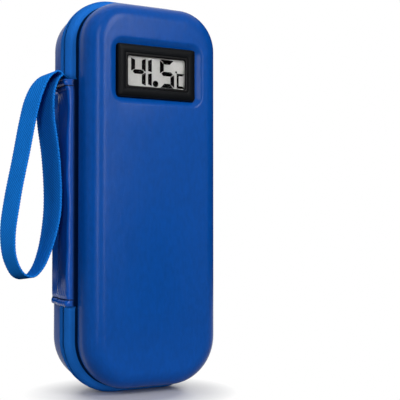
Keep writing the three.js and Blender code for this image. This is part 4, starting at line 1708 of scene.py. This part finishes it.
    def dot(self, centre: Vector, radius: float) -> Object:
        """One lit dot."""
        deselect()
        sides, upright = self.DOT_SIDES, (math.pi / 2, 0.0, 0.0)
        bpy.ops.mesh.primitive_circle_add(vertices=sides, radius=radius, fill_type="NGON", rotation=upright)
        piece = bpy.context.object
        bpy.ops.object.transform_apply(location=False, rotation=True, scale=False)
        piece.data.transform(Matrix.Translation(centre))
        return self.inked(piece)

    def inked(self, piece: Object) -> Object:
        """Draw a flat mark out to a thin plate."""
        activate(piece)
        with edit_mode():
            bpy.ops.mesh.extrude_region_move(TRANSFORM_OT_translate={"value": (0.0, self.plate, 0.0)})
            turn_outwards()
        return piece

    def build_reading(self) -> Object:
        """The figures, the point and the degree sign, as one mesh on the display."""
        corner = self.glass_corner()
        marks = [
            self.bar([corner + point for point in segment])
            for cell in self.figures
            for segment in cell.segments()
        ]
        marks += [self.dot(corner + Vector((x, 0.0, z)), radius) for x, z, radius in self.dots]
        return seat(joined("lcd_reading", marks), SEGMENT, Slot.LCD, Body.LID)

    def build(self) -> None:
        """Bezel, painted-shade skirt and rim, the cloth behind them and the reading."""
        self.build_case()
        self.build_shade_skirt()
        self.build_lip()
        self.build_backing()
        self.build_reading()


@dataclass
class PenBand:
    """An elastic band with arched loops for pens, on a flat strip sewn to the divider."""

    node: str
    loops: int = 3
    pitch: float = 0.022
    bore: float = 0.019
    rise: float = 0.0075
    thickness: float = 0.0011
    edge: float = 0.0003
    length: float = 0.15
    ARC_STEPS = 20
    SOFT = 0.6

    def centre_line(self) -> list[Vector]:
        """The arched strip's middle line, at height 0."""
        low, high = box_of(self.node)
        foot = high.y - 1.5 * self.thickness
        radius = (self.bore + self.thickness) / 2
        spring = high.y - self.thickness - self.rise
        found = [Vector((low.x, foot, 0.0))]
        for loop in range(self.loops):
            centre = (loop - (self.loops - 1) / 2) * self.pitch
            found.append(Vector((centre - radius, foot, 0.0)))
            for angle in spread(math.pi, 2 * math.pi, self.ARC_STEPS):
                x = centre + radius * math.cos(angle)
                found.append(Vector((x, spring + radius * math.sin(angle), 0.0)))
            found.append(Vector((centre + radius, foot, 0.0)))
        found.append(Vector((high.x, foot, 0.0)))
        return found

    def build(self) -> Object:
        """The arched strip and the flat one behind it, as one piece."""
        low, high = box_of(self.node)
        line = self.centre_line()
        half = self.thickness / 2
        soft = half * self.SOFT
        section = (
            (half, low.z + soft), (half, high.z - soft), (half - soft, high.z), (soft - half, high.z),
            (-half, high.z - soft), (-half, low.z + soft), (soft - half, low.z), (half - soft, low.z),
        )
        rings = []
        for index, point in enumerate(line):
            before, after = line[max(0, index - 1)], line[min(len(line) - 1, index + 1)]
            along = (after - before).normalized()
            out = Vector((along.y, -along.x, 0.0))
            rings.append([point + out * thick + Vector((0.0, 0.0, z)) for thick, z in section])
        arch = laid_grid(f"{self.node}_loops", rings, fill=True, flat=(2 * (high.z - low.z), self.length))
        shade(arch, 50.0)
        back_low = Vector((low.x, high.y - self.thickness, low.z))
        back = rounded_bar(f"{self.node}_back", back_low, high, self.edge)
        piece = joined(f"{self.node}_elastic", [arch, back])
        return seat(piece, ELASTIC, Slot.ELASTIC, Body.BASE, self.node)


@dataclass
class LidNet:
    """An open net that holds a cold pack in the lid, with a hem and a binding."""

    corner: float = 0.0242
    pitch: float = 0.0034
    strand: float = 0.00022
    hem: float = 0.005
    hem_half: float = 0.00055
    binding: float = 0.0022
    binding_proud: float = 0.0001
    hem_edge: float = 0.0004
    square: float = 0.0005
    lift: float = 0.7
    SAMPLES = 240
    LEAST = 4

    def outline(self) -> Outline:
        """The net's outline, with square upper corners."""
        return Outline.of_node("lid_net", self.corner, self.square)

    def clipped(self, offset: float, way: int) -> tuple[Vector, Vector] | None:
        """Ends of the slanted strand that crosses the middle line at a height, inside the net."""
        outline = self.outline()
        inside = []
        for x in spread(outline.left, outline.right, self.SAMPLES):
            z = offset + way * x
            if outline.low < z < outline.high and abs(x) < outline.half_width(z):
                inside.append(Vector((x, 0.0, z)))
        return (inside[0], inside[-1]) if len(inside) > self.LEAST else None

    def build_strands(self) -> Object:
        """Two sets of crossing strands."""
        low, high = box_of("lid_net")
        middle = (low.y + high.y) / 2
        reach = high.x - low.x
        strands = []
        count = int((high.z - low.z + 2 * reach) / self.pitch)
        for way in (-1, 1):
            for step in range(count):
                ends = self.clipped(low.z - reach + step * self.pitch, way)
                if ends is None:
                    continue
                strands.append(self.strand_between(*ends, middle + way * self.strand * self.lift))
        return joined("lid_net_strands", strands)

    def strand_between(self, start: Vector, end: Vector, y: float) -> Object:
        """One round strand: a six-sided cylinder along the line."""
        deselect()
        run = end - start
        bpy.ops.mesh.primitive_cylinder_add(vertices=6, radius=self.strand, depth=run.length)
        piece = bpy.context.object
        turn = run.to_track_quat("Z", "Y").to_matrix().to_4x4()
        middle = (start + end) / 2 + Vector((0.0, y, 0.0))
        piece.data.transform(Matrix.Translation(middle) @ turn)
        return piece

    def build_border(self) -> Object:
        """The binding round the net and the elastic hem along its upper edge."""
        low, high = box_of("lid_net")
        outline = self.outline()
        front, rear = low.y - self.binding_proud, high.y + self.binding_proud
        section = ((0.0, front), (-self.binding, front), (-self.binding, rear), (0.0, rear))
        rings = [outline.ring(out, y) for out, y in section]
        binding = laid_grid("lid_net_binding", rings, wrap_rows=True)
        middle = (low.y + high.y) / 2
        hem_low = Vector((low.x, middle - self.hem_half, high.z - self.hem))
        hem_high = Vector((high.x, middle + self.hem_half, high.z))
        hem = rounded_bar("lid_net_hem", hem_low, hem_high, self.hem_edge)
        return shade(joined("lid_net_border", [binding, hem]), 40.0)

    def build(self) -> None:
        """Net and border."""
        seat(shade(self.build_strands(), 60.0), NET, Slot.NET, Body.LID, "lid_net")
        seat(self.build_border(), ELASTIC_FLAT, Slot.ELASTIC, Body.LID)


@dataclass
class Divider:
    """A cloth pocket wall across the base, with a bound upper edge."""

    corner: float = 0.0225
    binding: float = 0.004
    binding_half: float = 0.0006
    binding_edge: float = 0.0005
    square: float = 0.0005
    ROWS = 60
    COLUMNS = 24

    def build(self) -> None:
        """The sheet and its binding."""
        low, high = box_of("base_divider")
        outline = Outline.of_node("base_divider", self.corner, self.square)
        front = []
        for z in spread(low.z, high.z, self.ROWS):
            half = outline.half_width(z)
            front.append([Vector((half * share, low.y, z)) for share in spread(-1.0, 1.0, self.COLUMNS)])
        sheet = laid_grid("base_divider_cloth", front, wrap=False, faces=FRONT)
        thicken(sheet, high.y - low.y)
        seat(shade(sheet, 40.0), LINING, Slot.LINING, Body.BASE, "base_divider")
        middle = (low.y + high.y) / 2
        bar_low = Vector((low.x, middle - self.binding_half, high.z - self.binding))
        bar_high = Vector((high.x, middle + self.binding_half, high.z))
        bar = rounded_bar("base_divider_binding", bar_low, bar_high, self.binding_edge)
        seat(shade(bar, 40.0), ELASTIC_FLAT, Slot.ELASTIC, Body.BASE)


@dataclass
class GelPack:
    """A sealed stadium pad of gel: crowned faces and a thin welded rim."""

    node: str
    body: Body
    edge: float = 0.0075
    bead: float = 0.0006
    rim_half: float = 0.0002
    corner_gap: float = 0.0001
    fullness: float = 0.95
    ripple: float = 0.05
    RINGS = 14
    INNERMOST = 0.97
    CROWDING = 1.7

    def swell(self, inset: float, x: float, z: float) -> float:
        """Share of the pack's half thickness at a place."""
        rise = math.sqrt(max(0.0, 1.0 - (1.0 - min(1.0, inset / self.edge)) ** 2))
        ripple = self.ripple * math.sin(z * 150 + x * 40) * math.sin(x * 130 + 0.7)
        return rise * (self.fullness + ripple)

    def build(self) -> Object:
        """Rings from the middle of one face, over the welded rim, to the other's."""
        low, high = box_of(self.node)
        half = (high.x - low.x) / 2
        middle, thick = (low.y + high.y) / 2, (high.y - low.y) / 2
        corner = half - self.corner_gap
        outline = Outline.of_node(self.node, corner, corner)
        insets = [half * self.INNERMOST * share**self.CROWDING for share in spread(0.0, 1.0, self.RINGS)]
        faces = {}
        for way in (-1, 1):
            rings = []
            for inset in insets:
                ring = outline.ring(-inset - self.bead, middle)
                for point in ring:
                    point.y = middle + way * thick * self.swell(inset, point.x, point.z)
                rings.append(ring)
            faces[way] = rings
        rim = [outline.ring(0.0, middle + way * self.rim_half) for way in (-1, 1)]
        rings = [*reversed(faces[-1]), *rim, *faces[1]]
        piece = laid_grid(f"{self.node}_film", rings, fill=True)
        shade(piece, 60.0)
        seat(piece, GEL_FILM, Slot.GEL, self.body, self.node)
        return piece


@dataclass
class PlainParts:
    """Hard frame nodes that keep their shape, with eased edges and a finish each."""

    ease: float = 0.00018
    sharp: float = 35.0
    finishes: tuple[tuple[Finish, tuple[str, ...]], ...] = (
        (CLEAR, ("thermo_window",)),
        (LCD, ("lcd_panel",)),
        (RUBBER, ("zebra_upper", "zebra_lower")),
        (BOARD, ("circuit_board",)),
        (EPOXY, ("chip_blob",)),
        (STEEL, ("contact_left", "contact_right", "cell_left", "cell_right", "cell_bridge")),
        (STEEL, ("temperature_sensor", "zip_stop_top", "zip_stop_bottom")),
        (BEZEL, ("rear_cover", "battery_door", "clip_left", "clip_right")),
        (ENAMEL, ("zip_slider_upper", "zip_slider_lower", "zip_pull_upper", "zip_pull_lower")),
    )

    def ease_edges(self, piece: Object) -> None:
        """Round a node's sharp edges a little, with live modifiers."""
        weld = piece.modifiers.new("weld", "WELD")
        weld.merge_threshold = WELD
        bevel = piece.modifiers.new("ease", "BEVEL")
        bevel.width = self.ease
        bevel.segments = 2
        bevel.limit_method = "ANGLE"
        bevel.angle_limit = math.radians(self.sharp)

    def build(self, nodes: dict[str, Object]) -> None:
        """Dress each node and ease its edges."""
        for finish, names in self.finishes:
            for name in names:
                self.ease_edges(dress(nodes[name], finish))
                LOG.info("%s dressed", name)


def beside(degrees: float, distance: float, height: float) -> Vector:
    """A place at an angle left of the lid's normal."""
    angle = math.radians(degrees)
    return Vector((-math.sin(angle) * distance, -math.cos(angle) * distance, height))


@dataclass(frozen=True)
class Lamp:
    """A soft area lamp: where it stands, its size, its power and whether gloss shows it."""

    name: str
    degrees: float
    height: float
    distance: float
    width: float
    tall: float
    watts: float
    in_gloss: bool = True

    def build(self, target: Vector) -> None:
        """Put the lamp at an angle left of the lid's normal, and point it at the case."""
        data = bpy.data.lights.new(self.name, "AREA")
        data.shape = "RECTANGLE"
        data.size = self.width
        data.size_y = self.tall
        data.energy = self.watts
        lamp = bpy.data.objects.new(self.name, data)
        bpy.context.collection.objects.link(lamp)
        place = beside(self.degrees, self.distance, self.height)
        lamp.location = place
        lamp.rotation_euler = (target - place).to_track_quat("-Z", "Y").to_euler()
        lamp.visible_glossy = self.in_gloss


@dataclass(frozen=True)
class Card:
    """A dark card beside the case, which only its gloss shows."""

    name: str
    degrees: float
    distance: float
    width: float
    tall: float
    SHADE = (0.01, 0.01, 0.012, 1.0)

    def build(self, target: Vector) -> None:
        """Stand the card at an angle left of the lid's normal, facing the case."""
        place = beside(self.degrees, self.distance, self.tall / 2)
        deselect()
        bpy.ops.mesh.primitive_plane_add(size=1.0)
        card = latest(self.name)
        card.dimensions = (self.width, self.tall, 0.0)
        card.location = place
        facing = Vector((target.x, target.y, place.z)) - place
        card.rotation_euler = facing.to_track_quat("Z", "Y").to_euler()
        made, shader = new_material(self.name)
        shader.inputs["Base Color"].default_value = self.SHADE
        shader.inputs["Specular IOR Level"].default_value = 0.0
        card.data.materials.append(made)
        card.visible_camera = False
        card.visible_diffuse = False
        card.visible_shadow = False
        card.visible_transmission = False


@dataclass
class Studio:
    """Floor, plain white surround, soft lamps, dark cards and the camera."""

    ambient: float = 0.32
    floor_half: float = 4.0
    # painted shadow: the floor's grey near the case, which deepens its shadow
    floor_painted_shadow: Colour = (0.5, 0.5, 0.54, 1.0)
    shadow_middle: tuple[float, float, float] = (-0.008, -0.01, 0.0)
    shadow_near: float = 0.027
    shadow_far: float = 0.06
    floor_roughness: float = 0.3
    floor_specular: float = 0.45
    lens: float = 85.5
    sensor: float = 36.0
    clip: float = 0.01
    aim: Vector = field(default_factory=lambda: Vector((0.0, 0.0, 0.11)))
    camera_place: Vector = field(default_factory=lambda: Vector((-0.2435, -0.4980, 0.0920)))
    camera_target: Vector = field(default_factory=lambda: Vector((0.0427, 0.0, 0.1096)))
    cards: tuple[Card, ...] = (
        Card("rear_left_card", 143.0, 0.7, 1.36, 0.3),
        Card("left_card", 76.0, 0.75, 0.75, 0.6),
        Card("right_card", -101.0, 0.7, 1.5, 0.8),
        Card("front_card", -16.9, 0.345, 0.16, 0.115),
    )
    lamps: tuple[Lamp, ...] = (
        Lamp("camera_strip", 31.0, 0.28, 0.95, 0.15, 0.9, 4.8),
        Lamp("front_strip", -9.0, 0.36, 0.95, 0.09, 1.1, 5.7),
        Lamp("key", -19.0, 0.69, 1.0, 0.2, 0.62, 5.4),
        Lamp("left_fill", 88.0, 0.3, 1.0, 0.8, 0.8, 4.2, in_gloss=False),
        Lamp("overhead", 180.0, 1.2, 0.35, 0.9, 0.9, 2.5),
        Lamp("corner", 47.0, 1.1, 0.6, 0.3, 0.3, 0.5),
    )

    def seen(self, bench: Bench) -> NodeSocket:
        """1 for rays from the camera, or by way of gloss or glass."""
        path = bench.add("ShaderNodeLightPath")
        both = bench.math("MAXIMUM", path.outputs["Is Camera Ray"], path.outputs["Is Glossy Ray"])
        return bench.math("MAXIMUM", both, path.outputs["Is Transmission Ray"])

    def build_world(self) -> None:
        """A white surround that lights the case at a plain level."""
        world = bpy.data.worlds.new("studio")
        bpy.context.scene.world = world
        world.use_nodes = True
        bench = Bench(world.node_tree)
        background = world.node_tree.nodes["Background"]
        background.inputs["Color"].default_value = (1.0, 1.0, 1.0, 1.0)
        strength = bench.ramp(self.seen(bench), 0.0, 1.0, self.ambient, 1.0)
        world.node_tree.links.new(strength, background.inputs["Strength"])

    def build_floor(self) -> None:
        """A pale floor that keeps the shadow near the case, with a grey colour there as painted shadow, and
        goes to white further out.
        """
        deselect()
        bpy.ops.mesh.primitive_plane_add(size=2 * self.floor_half, location=(0.0, 0.0, 0.0))
        floor = latest("studio_floor")
        made, shader = new_material("studio_floor")
        bench = Bench(made.node_tree)
        links = made.node_tree.links
        shader.inputs["Base Color"].default_value = self.floor_painted_shadow
        shader.inputs["Roughness"].default_value = self.floor_roughness
        shader.inputs["Specular IOR Level"].default_value = self.floor_specular
        place = bench.place()
        away = bench.add("ShaderNodeVectorMath", {0: place, 1: self.shadow_middle}, operation="DISTANCE")
        share = bench.ramp(away.outputs["Value"], self.shadow_near, self.shadow_far, 0.0, 1.0)
        white = bench.add("ShaderNodeEmission", {"Color": (1.0, 1.0, 1.0, 1.0)})
        links.new(self.seen(bench), white.inputs["Strength"])
        mixed = bench.add("ShaderNodeMixShader", {0: share})
        links.new(shader.outputs[0], mixed.inputs[1])
        links.new(white.outputs[0], mixed.inputs[2])
        links.new(mixed.outputs[0], made.node_tree.nodes["Material Output"].inputs["Surface"])
        floor.data.materials.append(made)

    def build_camera(self) -> None:
        """The camera at the photograph's place."""
        data = bpy.data.cameras.new("camera")
        data.lens = self.lens
        data.sensor_width = self.sensor
        data.clip_start = self.clip
        camera = bpy.data.objects.new("camera", data)
        bpy.context.collection.objects.link(camera)
        camera.location = self.camera_place
        look = self.camera_target - self.camera_place
        camera.rotation_euler = look.to_track_quat("-Z", "Y").to_euler()
        bpy.context.scene.camera = camera

    def build(self) -> None:
        """Camera, surround, floor, lamps and cards."""
        bpy.context.scene.view_settings.view_transform = "Standard"
        self.build_camera()
        self.build_world()
        self.build_floor()
        for lamp in self.lamps:
            lamp.build(self.aim)
        for card in self.cards:
            card.build(self.aim)


def trays(band: ZipBand) -> list[Tray]:
    """The two shells and their linings, which meet the zip band."""
    recess = Recess()
    room = recess.margin + recess.slope + recess.back_room
    lining_hole = Outline.of_node("thermo_case", recess.back_corner, recess.back_corner, room)
    rim = {"corner_low": 0.0271, "corner_high": 0.0231, "edge": 0.0103, "wall": 0.0032}
    cloth = {"corner_low": 0.0236, "corner_high": 0.0196, "edge": 0.0071, "wall": 0.0008, "rim_round": 0.0002}
    return [
        Tray(
            "lid_shell_skin", "lid_shell", Side.LID, SKIN, Slot.SKIN, **rim,
            rim_round=0.0018, rim_run=0.005, rim_reach=band.lid_reach, crown=0.0007, recess=recess,
        ),
        PlainTray("base_shell_skin", "base_shell", Side.BASE, SKIN, Slot.SKIN, **rim, grow=band.base_grow),
        Tray(
            "lid_lining_cloth", "lid_lining", Side.LID, LINING, Slot.LINING, **cloth,
            rim_reach=band.lid_reach, hole=lining_hole,
        ),
        PlainTray("base_lining_cloth", "base_lining", Side.BASE, LINING, Slot.LINING, **cloth),
    ]


def main() -> None:
    """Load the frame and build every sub-assembly round it."""
    logging.basicConfig(level=logging.INFO, format="%(message)s")
    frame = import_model()
    Studio().build()
    band = ZipBand()
    for tray in trays(band):
        tray.build()
    band.build()
    HingeStrip(band).build()
    WristStrap(band).build()
    Thermometer().build()
    for node in ("pen_band_upper", "pen_band_lower"):
        PenBand(node).build()
    LidNet().build()
    Divider().build()
    GelPack("gel_pack_lid", Body.PACK_LID).build()
    GelPack("gel_pack_base", Body.PACK_BASE).build()
    PlainParts().build(frame["nodes"])


if __name__ == "__main__":
    main()
